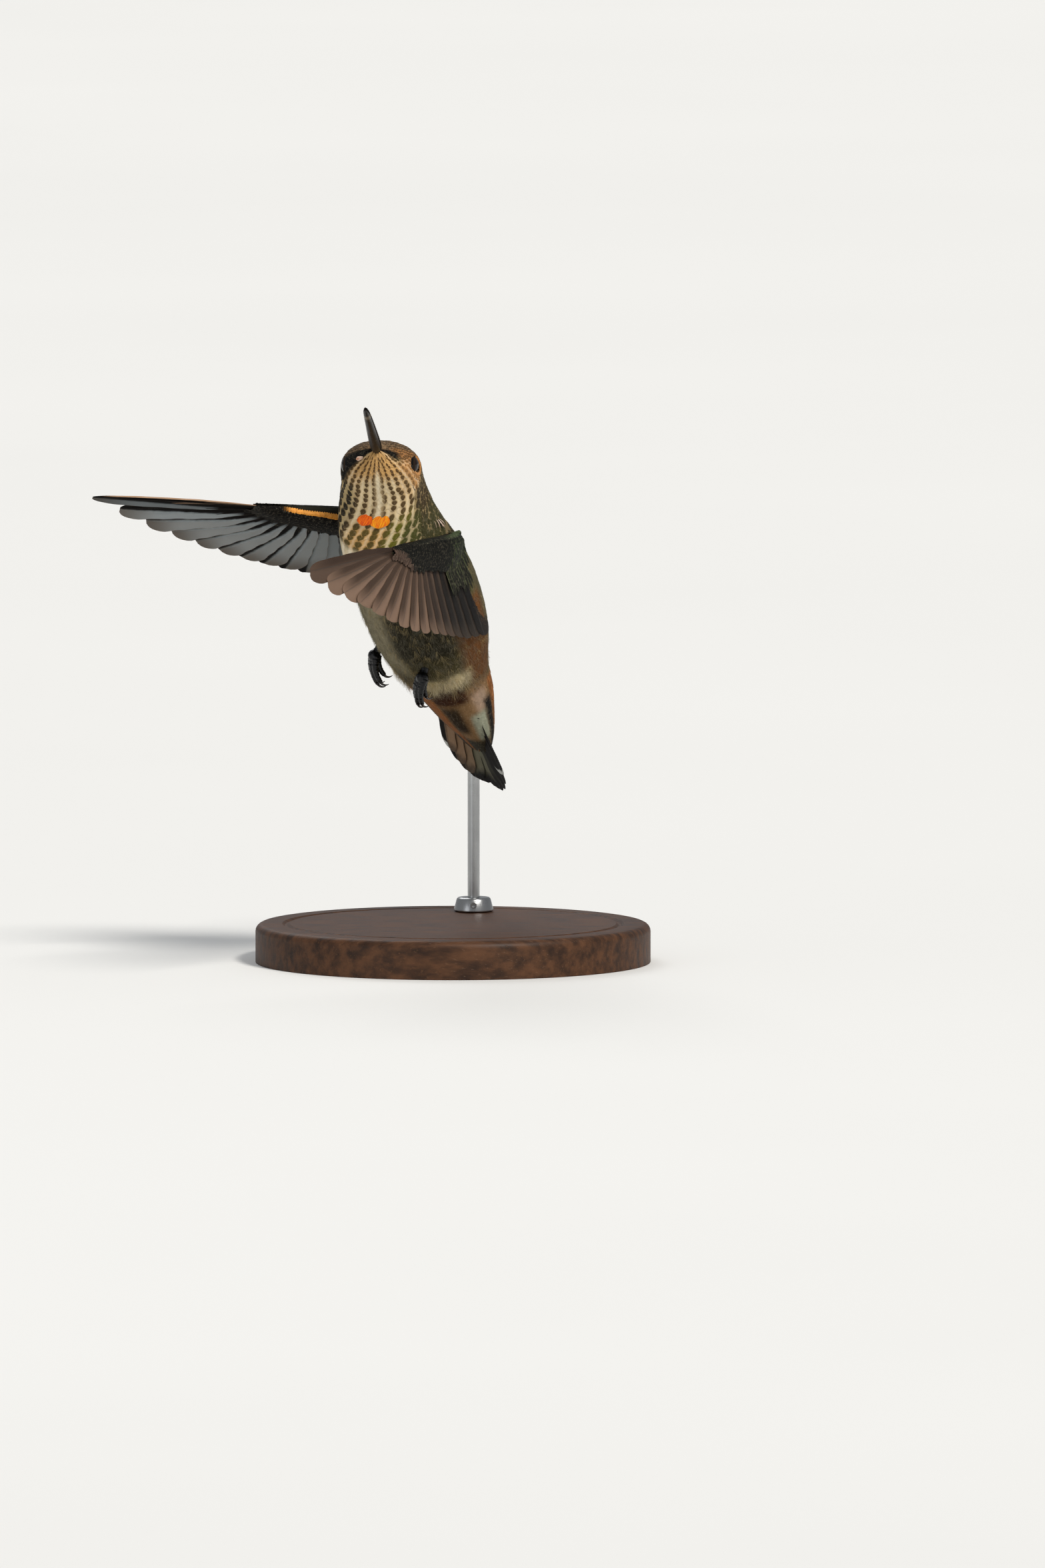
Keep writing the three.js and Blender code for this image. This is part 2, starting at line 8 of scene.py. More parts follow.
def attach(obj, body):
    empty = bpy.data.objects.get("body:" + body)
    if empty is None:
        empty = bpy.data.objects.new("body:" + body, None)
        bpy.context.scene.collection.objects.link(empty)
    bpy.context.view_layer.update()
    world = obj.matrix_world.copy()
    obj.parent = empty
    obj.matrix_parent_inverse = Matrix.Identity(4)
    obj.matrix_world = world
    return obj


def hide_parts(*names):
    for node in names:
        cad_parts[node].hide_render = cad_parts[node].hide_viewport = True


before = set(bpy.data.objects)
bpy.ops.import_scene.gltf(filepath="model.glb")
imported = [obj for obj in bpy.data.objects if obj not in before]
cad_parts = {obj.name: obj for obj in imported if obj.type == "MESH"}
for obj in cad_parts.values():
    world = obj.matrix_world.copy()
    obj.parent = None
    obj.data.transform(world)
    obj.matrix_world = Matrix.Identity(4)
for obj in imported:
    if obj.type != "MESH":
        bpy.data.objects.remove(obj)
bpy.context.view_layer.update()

# ---- Camera, floor and lamps -------------------------------------------------------------------
# The model stands on a plain pale floor, seen from in front and a little above through a long lens.
# A broad lamp hangs high on the right, weak ones fill from the left and behind, under a pale sky.
MM = 0.001
AIM = Vector((0.0109, -0.01245, 0.0290))
CAMERA_AWAY = 4.0
CAMERA_UP = math.radians(5)
FRAME_TALL = 0.245  # what the frame holds at the bird, from bottom to top
SENSOR = 36.0
LAMPS_AIM = Vector((0, -0.01, 0.055))
FLOOR_WIDE, FLOOR_AT = 60, (0, 0, -0.00005)

bpy.ops.object.camera_add(
    location=AIM + CAMERA_AWAY * Vector((0, -math.cos(CAMERA_UP), math.sin(CAMERA_UP))),
    rotation=(math.radians(90) - CAMERA_UP, 0, 0),
)
camera = bpy.context.object
camera.data.sensor_width = SENSOR
camera.data.lens = SENSOR * CAMERA_AWAY / FRAME_TALL
camera.data.clip_start = 0.1
camera.data.clip_end = 60
bpy.context.scene.camera = camera
bpy.context.scene.view_settings.view_transform = "Standard"


def lamp(kind, name, place, power, soft, colour):
    """A lamp that faces the bird. A far one is so distant that it lights the whole floor evenly."""
    bpy.ops.object.light_add(type=kind, location=place)
    made = bpy.context.object
    made.name = name
    made.rotation_euler = (LAMPS_AIM - Vector(place)).to_track_quat("-Z", "Y").to_euler()
    made.data.energy = power
    made.data.color = colour
    if kind == "SUN":
        made.data.angle = math.radians(soft)
    else:
        made.data.size = soft


lamp("SUN", "key_lamp", (0.55, -0.85, 1.05), 2.9, 14, (1.0, 0.965, 0.91))
lamp("SUN", "back_lamp", (-0.30, 0.80, 0.90), 0.7, 30, (1.0, 1.0, 1.0))
lamp("AREA", "fill_lamp", (-0.45, -0.50, 0.12), 0.35, 0.3, (0.93, 0.96, 1.0))


def operator(operation, turned=False):
    """A method that puts a socket and a number or socket through a Math node, in their order or turned."""
    return lambda self, other: self.sum(operation, *((other, self) if turned else (self, other)))


class Shade:
    """One socket in a material's nodes. Sums on it add their own Math nodes."""

    def __init__(self, tree, socket=None):
        self.tree = tree
        self.socket = socket

    def node(self, kind, settings=None, sockets=None, outlet=0):
        """Adds a node, makes its settings, fills or links its sockets, and gives one of its outlets."""
        made = self.tree.nodes.new(kind)
        for name, value in (settings or {}).items():
            setattr(made, name, value)
        for name, value in (sockets or {}).items():
            if isinstance(value, Shade):
                self.tree.links.new(value.socket, made.inputs[name])
            else:
                made.inputs[name].default_value = value
        return Shade(self.tree, made.outputs[outlet]) if made.outputs else None

    def sum(self, operation, *values):
        return self.node("ShaderNodeMath", {"operation": operation}, dict(enumerate(values)))

    def __abs__(self):
        return self.sum("ABSOLUTE", self)

    __add__ = operator("ADD")
    __sub__ = operator("SUBTRACT")
    __rsub__ = operator("SUBTRACT", turned=True)
    __mul__ = operator("MULTIPLY")
    __truediv__ = operator("DIVIDE")
    __pow__ = operator("POWER")

    def between(self, low, high):
        """0 below low and 1 above high, smoothly; the other way round where low is above high."""
        sockets = {"Value": self, "From Min": low, "From Max": high}
        return self.node("ShaderNodeMapRange", {"interpolation_type": "SMOOTHSTEP"}, sockets)

    def mix(self, share, first, second):
        """A colour between two colours."""
        return self.node("ShaderNodeMix", {"data_type": "RGBA"}, {0: share, 6: first, 7: second}, 2)

    def parts(self, place):
        """One of the three numbers of a vector."""
        return self.node("ShaderNodeSeparateXYZ", None, {0: self}, place)

    def attribute(self, name, outlet="Color"):
        return self.node("ShaderNodeAttribute", {"attribute_name": name}, None, outlet)

    def here(self):
        """The point's place in the model."""
        return self.node("ShaderNodeTexCoord", None, None, "Object")

    def uv(self, name):
        return self.node("ShaderNodeUVMap", {"uv_map": name}, None, "UV")

    def noise(self, vector, scale, detail=3.0, rough=0.5):
        sockets = {"Vector": vector, "Scale": scale, "Detail": detail, "Roughness": rough}
        return self.node("ShaderNodeTexNoise", None, sockets, "Fac")

    def stretched(self, vector, x, y, z):
        return self.node("ShaderNodeMapping", None, {"Vector": vector, "Scale": (x, y, z)})

    def bumped(self, height, deep):
        return self.node("ShaderNodeBump", None, {"Height": height, "Distance": deep}, "Normal")


def paint(code):
    """A colour from its usual six-figure code."""
    parts = [int(code[i : i + 2], 16) / 255 for i in (0, 2, 4)]
    return (*(p / 12.92 if p < 0.04045 else ((p + 0.055) / 1.055) ** 2.4 for p in parts), 1.0)


def material(name, make):
    """A material whose surface is what make(start) gives: the sockets of a Principled shader."""
    made = bpy.data.materials.new(name)
    made.use_nodes = True
    made.node_tree.nodes.clear()
    start = Shade(made.node_tree)
    surface = make(start)
    if isinstance(surface, dict):
        surface = start.node("ShaderNodeBsdfPrincipled", None, surface)
    start.node("ShaderNodeOutputMaterial", None, {"Surface": surface})
    return made


def room_paper(start):
    cloud = start.noise(start.here(), 3.0)
    return {"Base Color": start.mix(cloud, paint("e4e4e2"), paint("eaeae8")), "Roughness": 0.9}


bpy.ops.mesh.primitive_plane_add(size=FLOOR_WIDE, location=FLOOR_AT)
floor = bpy.context.object
floor.name = "floor"
floor.data.materials.append(material("room_paper", room_paper))

sky = bpy.data.worlds.new("pale_sky")
sky.use_nodes = True
glow = sky.node_tree.nodes["Background"].inputs
glow["Color"].default_value = (0.93, 0.96, 1.0, 1.0)
glow["Strength"].default_value = 0.34
bpy.context.scene.world = sky

# ---- Stand ---------------------------------------------------------------------------------------
# A turned disc of dark stained beech with a fine groove near its rim. A steel rod stands in a small
# collar with a grub screw, bends forward behind the bird and goes into the lower back.
STAND_HIGH = 0.006
STAND_WIDE = 0.031
STAND_BEVEL = 0.0012
GROOVE_IN, GROOVE_SIDE, GROOVE_DEEP = 0.0030, 0.0004, 0.0003
COLLAR_FOOT, COLLAR_TOP, COLLAR_HIGH = 0.0032, 0.0026, 0.0022
COLLAR_MIDDLE = STAND_HIGH + 0.0012
SCREW_RADIUS, SCREW_LONG, SCREW_OUT = 0.0005, 0.0006, 0.00285
ROD_AT, ROD_FOOT = (0.0032, 0.020), 0.004
ROD_RADIUS = 0.00095
ROD_BEND = 0.011


def pick(*things):
    """Selects these things alone; the last is the active one."""
    for thing in bpy.context.selected_objects:
        thing.select_set(False)
    for thing in things:
        thing.select_set(True)
        bpy.context.view_layer.objects.active = thing


def joined(*things):
    """Joins things in one object, under the last one's name."""
    pick(*things)
    if len(things) > 1:
        bpy.ops.object.join()
    return bpy.context.object


def pick_faces(thing, wanted):
    """Selects the faces whose centre and normal are wanted, and goes into edit mode."""
    for part in (*thing.data.vertices, *thing.data.edges):
        part.select = False
    for face in thing.data.polygons:
        face.select = bool(wanted(face.center, face.normal))
    bpy.ops.object.mode_set(mode="EDIT")
    bpy.ops.mesh.select_mode(type="FACE")


def shaped(thing, *modifiers):
    """Puts a thing through modifiers, each a kind and its settings, and applies them."""
    bpy.context.view_layer.objects.active = thing
    for kind, settings in modifiers:
        modifier = thing.modifiers.new(kind, kind)
        for name, value in settings.items():
            setattr(modifier, name, value)
        bpy.ops.object.modifier_apply(modifier=modifier.name)


def finish_piece(thing, name, stuff, nodes=()):
    """Puts the piece's place into its mesh, gives it its material, and ties it to the model."""
    pick(thing)
    bpy.ops.object.transform_apply(location=True, rotation=True, scale=True)
    thing.name = name
    thing.data.name = name
    thing.data.materials.clear()
    thing.data.materials.append(stuff)
    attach(thing, "root")
    if nodes:
        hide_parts(*nodes)
    pick()


def stained_beech(start):
    place = start.here()
    rings = start.stretched(place, 160.0, 900.0, 500.0)
    grain = start.noise(rings, 1.0, 6.0, 0.6)
    rays = start.noise(start.stretched(place, 900.0, 5200.0, 2500.0), 1.0, 2.0)
    flecks = rays.between(0.62, 0.74)
    wood = start.mix(grain.between(0.3, 0.7), paint("2a1a10"), paint("553722"))
    return {
        "Base Color": start.mix(flecks * 0.35, wood, paint("6b4a2f")),
        "Roughness": grain * 0.18 + 0.42,
        "Specular IOR Level": 0.22,
        "Normal": start.bumped(grain - flecks * 0.5, 0.00006),
    }


def brushed_steel(start):
    place = start.here()
    brush = start.noise(start.stretched(place, 2600.0, 2600.0, 160.0), 1.0, 3.0)
    dull = start.noise(place, 220.0, 2.0)
    return {
        "Base Color": start.mix(dull, paint("8e8f90"), paint("b5b6b6")),
        "Metallic": 1.0,
        "Roughness": brush * 0.14 + 0.22,
        "Normal": start.bumped(brush, 0.00002),
    }


STAINED_BEECH = material("stained_beech", stained_beech)
BRUSHED_STEEL = material("brushed_steel", brushed_steel)

bpy.ops.mesh.primitive_cylinder_add(
    vertices=128, radius=STAND_WIDE, depth=STAND_HIGH, location=(0, 0, STAND_HIGH / 2)
)
base = bpy.context.object
pick_faces(base, lambda centre, normal: normal.z > 0.9)
bpy.ops.mesh.bevel(offset=STAND_BEVEL, segments=5, affect="EDGES")
bpy.ops.object.mode_set(mode="OBJECT")
pick_faces(base, lambda centre, normal: normal.z > 0.999)
bpy.ops.mesh.inset(thickness=GROOVE_IN)
for depth in (-GROOVE_DEEP, 0, GROOVE_DEEP):
    bpy.ops.mesh.inset(thickness=GROOVE_SIDE, depth=depth)
bpy.ops.object.mode_set(mode="OBJECT")
pick(base)
bpy.ops.object.shade_smooth_by_angle(angle=math.radians(35))
finish_piece(base, "stand_base_turned", STAINED_BEECH, ["stand_base"])

bpy.ops.mesh.primitive_cone_add(
    vertices=64, radius1=COLLAR_FOOT, radius2=COLLAR_TOP, depth=COLLAR_HIGH,
    location=(*ROD_AT, COLLAR_MIDDLE),
)
collar = bpy.context.object
shaped(collar, ("BEVEL", {"width": 0.00035, "segments": 3}))
bpy.ops.mesh.primitive_cylinder_add(
    vertices=24, radius=SCREW_RADIUS, depth=SCREW_LONG, rotation=(math.radians(90), 0, 0),
    location=(ROD_AT[0], ROD_AT[1] - SCREW_OUT, COLLAR_MIDDLE),
)
screw = bpy.context.object
pick_faces(screw, lambda centre, normal: normal.z > 0.9)
bpy.ops.mesh.inset(thickness=0.00022)
bpy.ops.mesh.inset(thickness=0.00002, depth=-0.00025)
bpy.ops.object.mode_set(mode="OBJECT")
joined(screw, collar)
bpy.ops.object.shade_smooth_by_angle(angle=math.radians(35))
finish_piece(collar, "stand_collar_turned", BRUSHED_STEEL, ["stand_collar"])


def unit(rows):
    """Directions, one to a row, each made one long."""
    rows = np.asarray(rows, float)
    return rows / np.linalg.norm(rows, axis=-1, keepdims=True)


def frame_of(points, left):
    """A frame as three columns: Z is `points`, and X is as near to `left` as can be."""
    z = unit(points)
    y = unit(np.cross(z, left))
    return np.column_stack((np.cross(y, z), y, z))


# The bird's own frame: +X to its left, +Y out of its back, +Z up the trunk. Millimetres.
TRUNK_AT = np.array((-4.0, -10.0, 57.0))
BIRD = frame_of((-0.268, -0.546, 0.796), (0.67, -0.694, -0.25))
ROD_TOP = np.array((2.2, 3.0, -1.0))


def third(start, end):
    """A third of the way to the end."""
    return (start * 2 + end) / 3


rod_foot = Vector((*ROD_AT, ROD_FOOT))
rod_top = Vector((BIRD @ ROD_TOP + TRUNK_AT) * MM)
rod_knee = Vector((*ROD_AT, rod_top.z))
bend_from = rod_knee - Vector((0, 0, ROD_BEND))
bend_to = rod_knee + (rod_top - rod_knee).normalized() * ROD_BEND
rod_stops = [  # each with its handles towards the foot and towards the top
    (rod_foot, rod_foot, third(rod_foot, bend_from)),
    (bend_from, third(bend_from, rod_foot), third(rod_knee, bend_from)),
    (bend_to, third(rod_knee, bend_to), third(bend_to, rod_top)),
    (rod_top, third(rod_top, bend_to), rod_top),
]
bpy.ops.curve.primitive_bezier_curve_add()
rod = bpy.context.object
line = rod.data.splines[0]
line.bezier_points.add(len(rod_stops) - 2)
for point, (place, back, ahead) in zip(line.bezier_points, rod_stops):
    point.handle_left_type = point.handle_right_type = "FREE"
    point.co = place
    point.handle_left = back
    point.handle_right = ahead
rod.data.dimensions = "3D"
rod.data.resolution_u = 20
rod.data.bevel_depth = ROD_RADIUS
rod.data.bevel_resolution = 6
rod.data.use_fill_caps = True
pick(rod)
bpy.ops.object.convert(target="MESH")
rod = bpy.context.object
bpy.ops.object.shade_smooth_by_angle(angle=math.radians(40))
finish_piece(rod, "stand_rod_bent", BRUSHED_STEEL, ["stand_rod"])

# ---- Skin ----------------------------------------------------------------------------------------
# One skin over head, neck, trunk, tail root and both wing arms, so that no seam shows between them.
# It lies inside the outside of the plumage by the depth of the feathers, and carries their colours.
HEAD_AT = np.array((0.5, 0.28, 28.8))
HEAD = frame_of((-0.098, -0.878, 0.468), (1, -0.09, 0.005))
FACE = 6.9
TAIL_END = -31.5
NECK_FROM = 14
SPINE = [
    (0, 0, TAIL_END), (0, 0, -16), (0, 0, 0), (0, 0, 13), (-1.2, 0.3, 21.5),
    HEAD_AT, HEAD_AT + BIRD.T @ HEAD[:, 2] * FACE,
]
# A ring: its place along the spine, half its width, its reach to belly or throat, and to the back.
BODY_RINGS = [
    (-31, 3.4, 0.9, 1.1), (-26, 4.6, 2.4, 2.6), (-22, 5.3, 3.9, 3.8), (-18, 6.0, 5.2, 4.8),
    (-13, 6.8, 7.0, 5.2), (-5, 8.8, 9.2, 7.2), (5, 9.4, 9.8, 7.9), (13, 8.8, 9.7, 6.7),
    (21, 7.4, 8.2, 4.7), (25.5, 6.5, 6.5, 3.9), (29.5, 6.3, 5.4, 3.5), (32.5, 5.1, 4.4, 3.1),
    (34.8, 3.2, 2.9, 2.4), (36.3, 1.7, 1.6, 1.5),
]
BOXY = 2.4
END_ROUND = 12
PLACES = 300
TURNS = 180
COAT_DEEP = 0.45


def smoothly(low, high, value):
    share = np.clip((value - low) / (high - low), 0, 1)
    return share * share * (3 - 2 * share)


def curve_through(points, steps):
    """A smooth curve through the points, as points evenly spaced along it, and its length."""
    knots = np.array(points, float)
    knots = np.vstack((2 * knots[0] - knots[1], knots, 2 * knots[-1] - knots[-2]))
    drawn = []
    for p0, p1, p2, p3 in zip(knots, knots[1:], knots[2:], knots[3:]):
        d0, d1, d2 = (np.linalg.norm(b - a) ** 0.5 for a, b in ((p0, p1), (p1, p2), (p2, p3)))
        leave = ((p1 - p0) / d0 - (p2 - p0) / (d0 + d1) + (p2 - p1) / d1) * d1
        arrive = ((p2 - p1) / d1 - (p3 - p1) / (d1 + d2) + (p3 - p2) / d2) * d1
        t = np.linspace(0, 1, 200, endpoint=False)[:, None]
        bent = t**2 * (3 * (p2 - p1) - 2 * leave - arrive) + t**3 * (2 * (p1 - p2) + leave + arrive)
        drawn.append(p1 + t * leave + bent)
    drawn = np.vstack((*drawn, knots[-2][None]))
    gone = np.concatenate(([0], np.cumsum(np.linalg.norm(np.diff(drawn, axis=0), axis=1))))
    even = np.linspace(0, gone[-1], steps)
    return np.column_stack([np.interp(even, gone, drawn[:, k]) for k in range(3)]), gone[-1]


def sizes_along(rings, at):
    """Sizes at places between rings, from a smooth curve; a ring is its place, then its sizes."""
    rings = np.array(rings, float)
    places, sizes = rings[:, 0], rings[:, 1:]
    at = np.clip(np.asarray(at, float), places[0], places[-1])
    after = np.clip(np.searchsorted(places, at, side="right"), 1, len(places) - 1)
    back = np.where(after == 1, after, after - 2)
    ahead = np.where(after == len(places) - 1, after - 1, np.minimum(after + 1, len(places) - 1))
    start, end = places[after - 1], places[after]
    pull = (end - start) / 2 / (start - places[back])
    push = (end - start) / 2 / (places[ahead] - end)
    p = (at - start) / (end - start)
    shares = (
        -pull * p**3 + 2 * pull * p**2 - pull * p,
        (1 + pull) * p**3 + (-1.5 - 2 * pull) * p**2 + (-0.5 + pull) * p + 1,
        (-1 - push) * p**3 + (1.5 + push) * p**2 + 0.5 * p,
        push * p**3 - push * p**2,
    )
    picks = (back, after - 1, after, ahead)
    return sum(share[..., None] * sizes[pick] for share, pick in zip(shares, picks))


def part_turn(matrix, share):
    """A share of the turn that a rotation matrix makes."""
    odd = np.array((matrix[2, 1] - matrix[1, 2], matrix[0, 2] - matrix[2, 0], matrix[1, 0] - matrix[0, 1]))
    angle = math.acos((np.trace(matrix) - 1) / 2) * share
    x, y, z = unit(odd)
    cross = np.array(((0, -z, y), (z, 0, -x), (-y, x, 0)))
    return np.eye(3) + math.sin(angle) * cross + (1 - math.cos(angle)) * cross @ cross


def boxy(value):
    return np.sign(value) * np.abs(value) ** (2 / BOXY)


spine_line, spine_long = curve_through(SPINE, PLACES)
body_s = TAIL_END + np.linspace(0, spine_long, PLACES)


def draw_body():
    """Points and outward directions on the outside of the plumage, in world millimetres. Rows run
    from tail to bill; columns run round from the back, by the belly at the middle, to the back."""
    turn = np.linspace(-1.5 * np.pi, 0.5 * np.pi, 4 * TURNS + 1)
    across, deep = boxy(np.cos(turn)), boxy(np.sin(turn))
    share = np.linspace(0, 1, PLACES)
    close = np.maximum(0.02, np.sqrt(np.clip(1 - np.abs(2 * share - 1) ** END_ROUND, 0, 1)))
    rows, rounds = [], []
    for s, (wide, under, over), shut, middle in zip(
        body_s, sizes_along(BODY_RINGS, body_s), close, spine_line
    ):
        high = np.where(deep > 0, over, under) * deep
        ring = np.column_stack((across * wide, high, 0 * deep)) * shut
        gone = np.concatenate(([0], np.cumsum(np.linalg.norm(np.diff(ring, axis=0), axis=1))))
        half = np.linspace(0, gone[2 * TURNS], TURNS // 2 + 1)
        even = np.concatenate((half[:-1], gone[-1] - half[::-1]))
        ring = np.column_stack([np.interp(even, gone, ring[:, k]) for k in range(3)])
        bend = part_turn(BIRD.T @ HEAD, smoothly(NECK_FROM, HEAD_AT[2], s))
        rows.append((ring @ bend.T + middle) @ BIRD.T + TRUNK_AT)
        rounds.append(gone[-1])
    points = np.array(rows)
    outward = unit(np.cross(np.gradient(points, axis=1), np.gradient(points, axis=0)))
    return points, outward, np.array(rounds)


body_points, body_outward, body_rounds = draw_body()
body_stretch = np.linalg.norm(np.gradient(body_points, axis=0), axis=2) / np.gradient(body_s)[:, None]


def body_cell(s, c):
    """Where a place on the body lies in the drawn rows and columns. c is 0 at the belly, 1 at the back
    by the left side and -1 by the right."""
    row = np.clip((s - TAIL_END) / spine_long, 0, 0.9999) * (PLACES - 1)
    column = ((c + 1) / 2 % 1.0) * TURNS
    return row, column


def body_read(table, s, c):
    row, column = body_cell(np.asarray(s, float), np.asarray(c, float))
    i, j = row.astype(int), column.astype(int)
    di, dj = (row - i), (column - j)
    if table.ndim == 3:
        di, dj = di[..., None], dj[..., None]
    i1 = np.minimum(i + 1, PLACES - 1)
    j1 = np.minimum(j + 1, TURNS)
    top = table[i, j] * (1 - dj) + table[i, j1] * dj
    return top * (1 - di) + (table[i1, j] * (1 - dj) + table[i1, j1] * dj) * di


# The plumage's markings, painted one over the other. Each has its span along the spine and round
# the body (0 belly, 1 back), how softly it ends, the side it is on (0 for both), the colour of the
# feathers' edges and of their middles, the size of those middles across and along, and their gloss.
MARKINGS = [
    # back, crown and nape
    (-40, 40, 0.0, 1.1, 1.0, 0.05, 0, "7a6642", "49432a", 0.85, 0.34, 0.20),
    (13, 30, 0.55, 1.1, 2.0, 0.04, 0, "786444", "453d26", 0.80, 0.30, 0.22),
    (26, 40, 0.46, 1.1, 1.5, 0.04, 0, "7e654a", "443626", 0.62, 0.24, 0.12),
    # neck's side and ear coverts
    (15, 29, 0.30, 0.62, 2.0, 0.05, 0, "8a7652", "3b3020", 0.68, 0.23, 0.12),
    (13, 21.5, 0.34, 0.74, 2.0, 0.05, 0, "7a6a4a", "393720", 0.76, 0.26, 0.15),
    # throat and chin: cream, in rows of dark bronze spots
    (19, 40, -0.1, 0.33, 1.5, 0.03, 0, "d8c094", "56432a", 0.45, 0.19, 0.15),
    (28, 40, 0.20, 0.42, 1.5, 0.04, 0, "c4a476", "5a4529", 0.44, 0.20, 0.10),
    (32.0, 40, -0.1, 0.34, 1.2, 0.05, 0, "bb9158", "523a20", 0.36, 0.22, 0.10),
    (24.5, 33.0, -0.1, 0.035, 1.0, 0.02, 0, "e2d0ac", "b59c74", 0.40, 0.16, 0.0),
    (17.5, 23.5, -0.1, 0.16, 0.8, 0.05, 0, "c99d60", "5a4a22", 0.55, 0.20, 0.20),
    # the bird's left throat side is painted greener, partly its own bronze-green and partly a painted sheen;
    # on its right the spots are painted near-black as painted shade
    (18, 25.0, 0.13, 0.34, 1.2, 0.04, 1, "b8a577", "5c591d", 0.58, 0.20, 0.12),
    (17, 23.5, 0.26, 0.44, 1.2, 0.04, 1, "9a8c68", "434420", 0.68, 0.22, 0.12),
    (15, 30, 0.22, 0.46, 1.5, 0.04, -1, "ab9468", "262014", 0.68, 0.22, 0.15),
    # face: rufous round the bird's left eye and black before both eyes; on the right side painted shade
    # carries the black all along the face
    (29, 34.5, 0.46, 0.62, 0.8, 0.03, 1, "94663a", "5e4226", 0.50, 0.22, 0.05),
    (28, 33.0, 0.34, 0.47, 0.7, 0.03, 1, "b98a56", "84603a", 0.35, 0.16, 0.05),
    (28.6, 36.5, 0.38, 0.57, 0.6, 0.025, -1, "14110e", "080706", 0.80, 0.30, 0.10),
    (33.6, 36.5, 0.40, 0.53, 0.5, 0.03, 1, "14110e", "080706", 0.80, 0.30, 0.10),
    # breast: a pale band, then bronze-green sides
    (8, 18.2, -0.1, 0.40, 0.8, 0.05, 0, "ddd0b4", "cdbd9c", 0.50, 0.20, 0.0),
    (2, 16, 0.28, 0.62, 2.0, 0.06, 0, "7d7350", "4c4c2a", 0.80, 0.30, 0.20),
    # belly, flanks and vent
    (-7, 9, -0.1, 0.12, 2.0, 0.05, 0, "867c64", "776f58", 0.60, 0.30, 0.0),
    (-9, 9, -0.5, -0.08, 2.0, 0.05, 1, "7d755e", "6b644e", 0.60, 0.30, 0.0),
    # on the bird's left, under its wing, the belly is painted dark: partly its own dark olive, partly the
    # wing's painted shadow
    (-7.5, 6, 0.09, 0.46, 1.6, 0.05, 1, "50482a", "38321c", 0.80, 0.40, 0.0),
    (-4, 6, 0.05, 0.42, 1.6, 0.06, 1, "2e2a19", "201d11", 0.80, 0.40, 0.0),
    (-13, 3.5, 0.44, 0.68, 1.2, 0.04, 0, "774c26", "5e3a1a", 0.70, 0.40, 0.0),
    (-11.8, -8.8, 0.12, 0.47, 0.8, 0.04, 0, "ded0ac", "bfae84", 0.50, 0.30, 0.0),
    # under the root of the tail
    (-32, -13, 0.10, 0.62, 0.8, 0.04, 0, "8e704c", "7d6040", 0.70, 0.40, 0.0),
    (-16, -11.8, 0.08, 0.40, 0.8, 0.05, 0, "42240f", "311809", 0.70, 0.40, 0.0),
    (-32, -12, -0.14, 0.09, 0.8, 0.03, 0, "9c6028", "7e4c20", 0.60, 0.40, 0.0),
    (-24, -16.5, 0.10, 0.27, 1.2, 0.04, 0, "372a18", "281d10", 0.70, 0.40, 0.0),
    (-19.5, -15, 0.42, 0.56, 1.0, 0.04, 0, "a88c78", "97806c", 0.60, 0.40, 0.0),
    (-26, -19.5, 0.34, 0.51, 0.8, 0.03, 0, "a6a894", "90927e", 0.60, 0.40, 0.0),
    (-32, -26, 0.05, 0.50, 0.8, 0.05, 0, "3c382a", "2a271c", 0.60, 0.40, 0.0),
    (-32, -17.5, 0.51, 0.61, 0.8, 0.02, 0, "16100b", "0d0906", 0.70, 0.30, 0.10),
    (-32, -14, 0.61, 0.76, 0.8, 0.02, 0, "96602f", "744621", 0.50, 0.30, 0.0),
]


def rgb(code):
    return np.array(paint(code)[:3])


def toward(colour, code, share):
    """A colour at each point, taken a share of the way to another."""
    return colour + (rgb(code) - colour) * np.asarray(share)[..., None]


def marked(s, c):
    """The edge colour, middle colour, and the middle's width, length and gloss at places on the body."""
    s, c = np.asarray(s, float), np.asarray(c, float)
    edge = np.zeros((*s.shape, 3))
    middle = np.zeros((*s.shape, 3))
    shape = np.zeros((*s.shape, 3))
    for tail, bill, low, high, soft, blur, side, edge_paint, middle_paint, *sizes in MARKINGS:
        share = smoothly(tail - soft, tail + soft, s) * (1 - smoothly(bill - soft, bill + soft, s))
        round_ = np.abs(c) if side == 0 else c * side
        share = share * smoothly(low - blur, low + blur, round_)
        share = share * (1 - smoothly(high - blur, high + blur, round_))
        edge = toward(edge, edge_paint, share)
        middle = toward(middle, middle_paint, share)
        shape += (np.array(sizes) - shape) * share[..., None]
    return edge, middle, shape


def new_object(name, stuff):
    """An object of a mesh or curve, in the scene and selected alone."""
    made = bpy.data.objects.new(name, stuff)
    bpy.context.collection.objects.link(made)
    pick(made)
    return made


def joined_mesh(name, points, faces, point_colours, loop_maps):
    """A mesh from arrays, in world millimetres. Maps are UV places for each corner of each face."""
    faces = np.asarray(faces)
    mesh = bpy.data.meshes.new(name)
    mesh.vertices.add(len(points))
    mesh.vertices.foreach_set("co", (points * MM).astype(np.float32).ravel())
    mesh.loops.add(faces.size)
    mesh.loops.foreach_set("vertex_index", faces.astype(np.int32).ravel())
    mesh.polygons.add(len(faces))
    mesh.polygons.foreach_set("loop_start", np.arange(0, faces.size, faces.shape[1], dtype=np.int32))
    mesh.update(calc_edges=True)
    for attribute, values in point_colours.items():
        layer = mesh.attributes.new(attribute, "FLOAT_COLOR", "POINT")
        filled = np.ones((len(points), 4), np.float32)
        filled[:, : values.shape[1]] = values
        layer.data.foreach_set("color", filled.ravel())
    for layer_name, places in loop_maps.items():
        layer = mesh.uv_layers.new(name=layer_name)
        layer.data.foreach_set("uv", places[faces.ravel()].astype(np.float32).ravel())
    mesh.validate()
    return new_object(name, mesh)


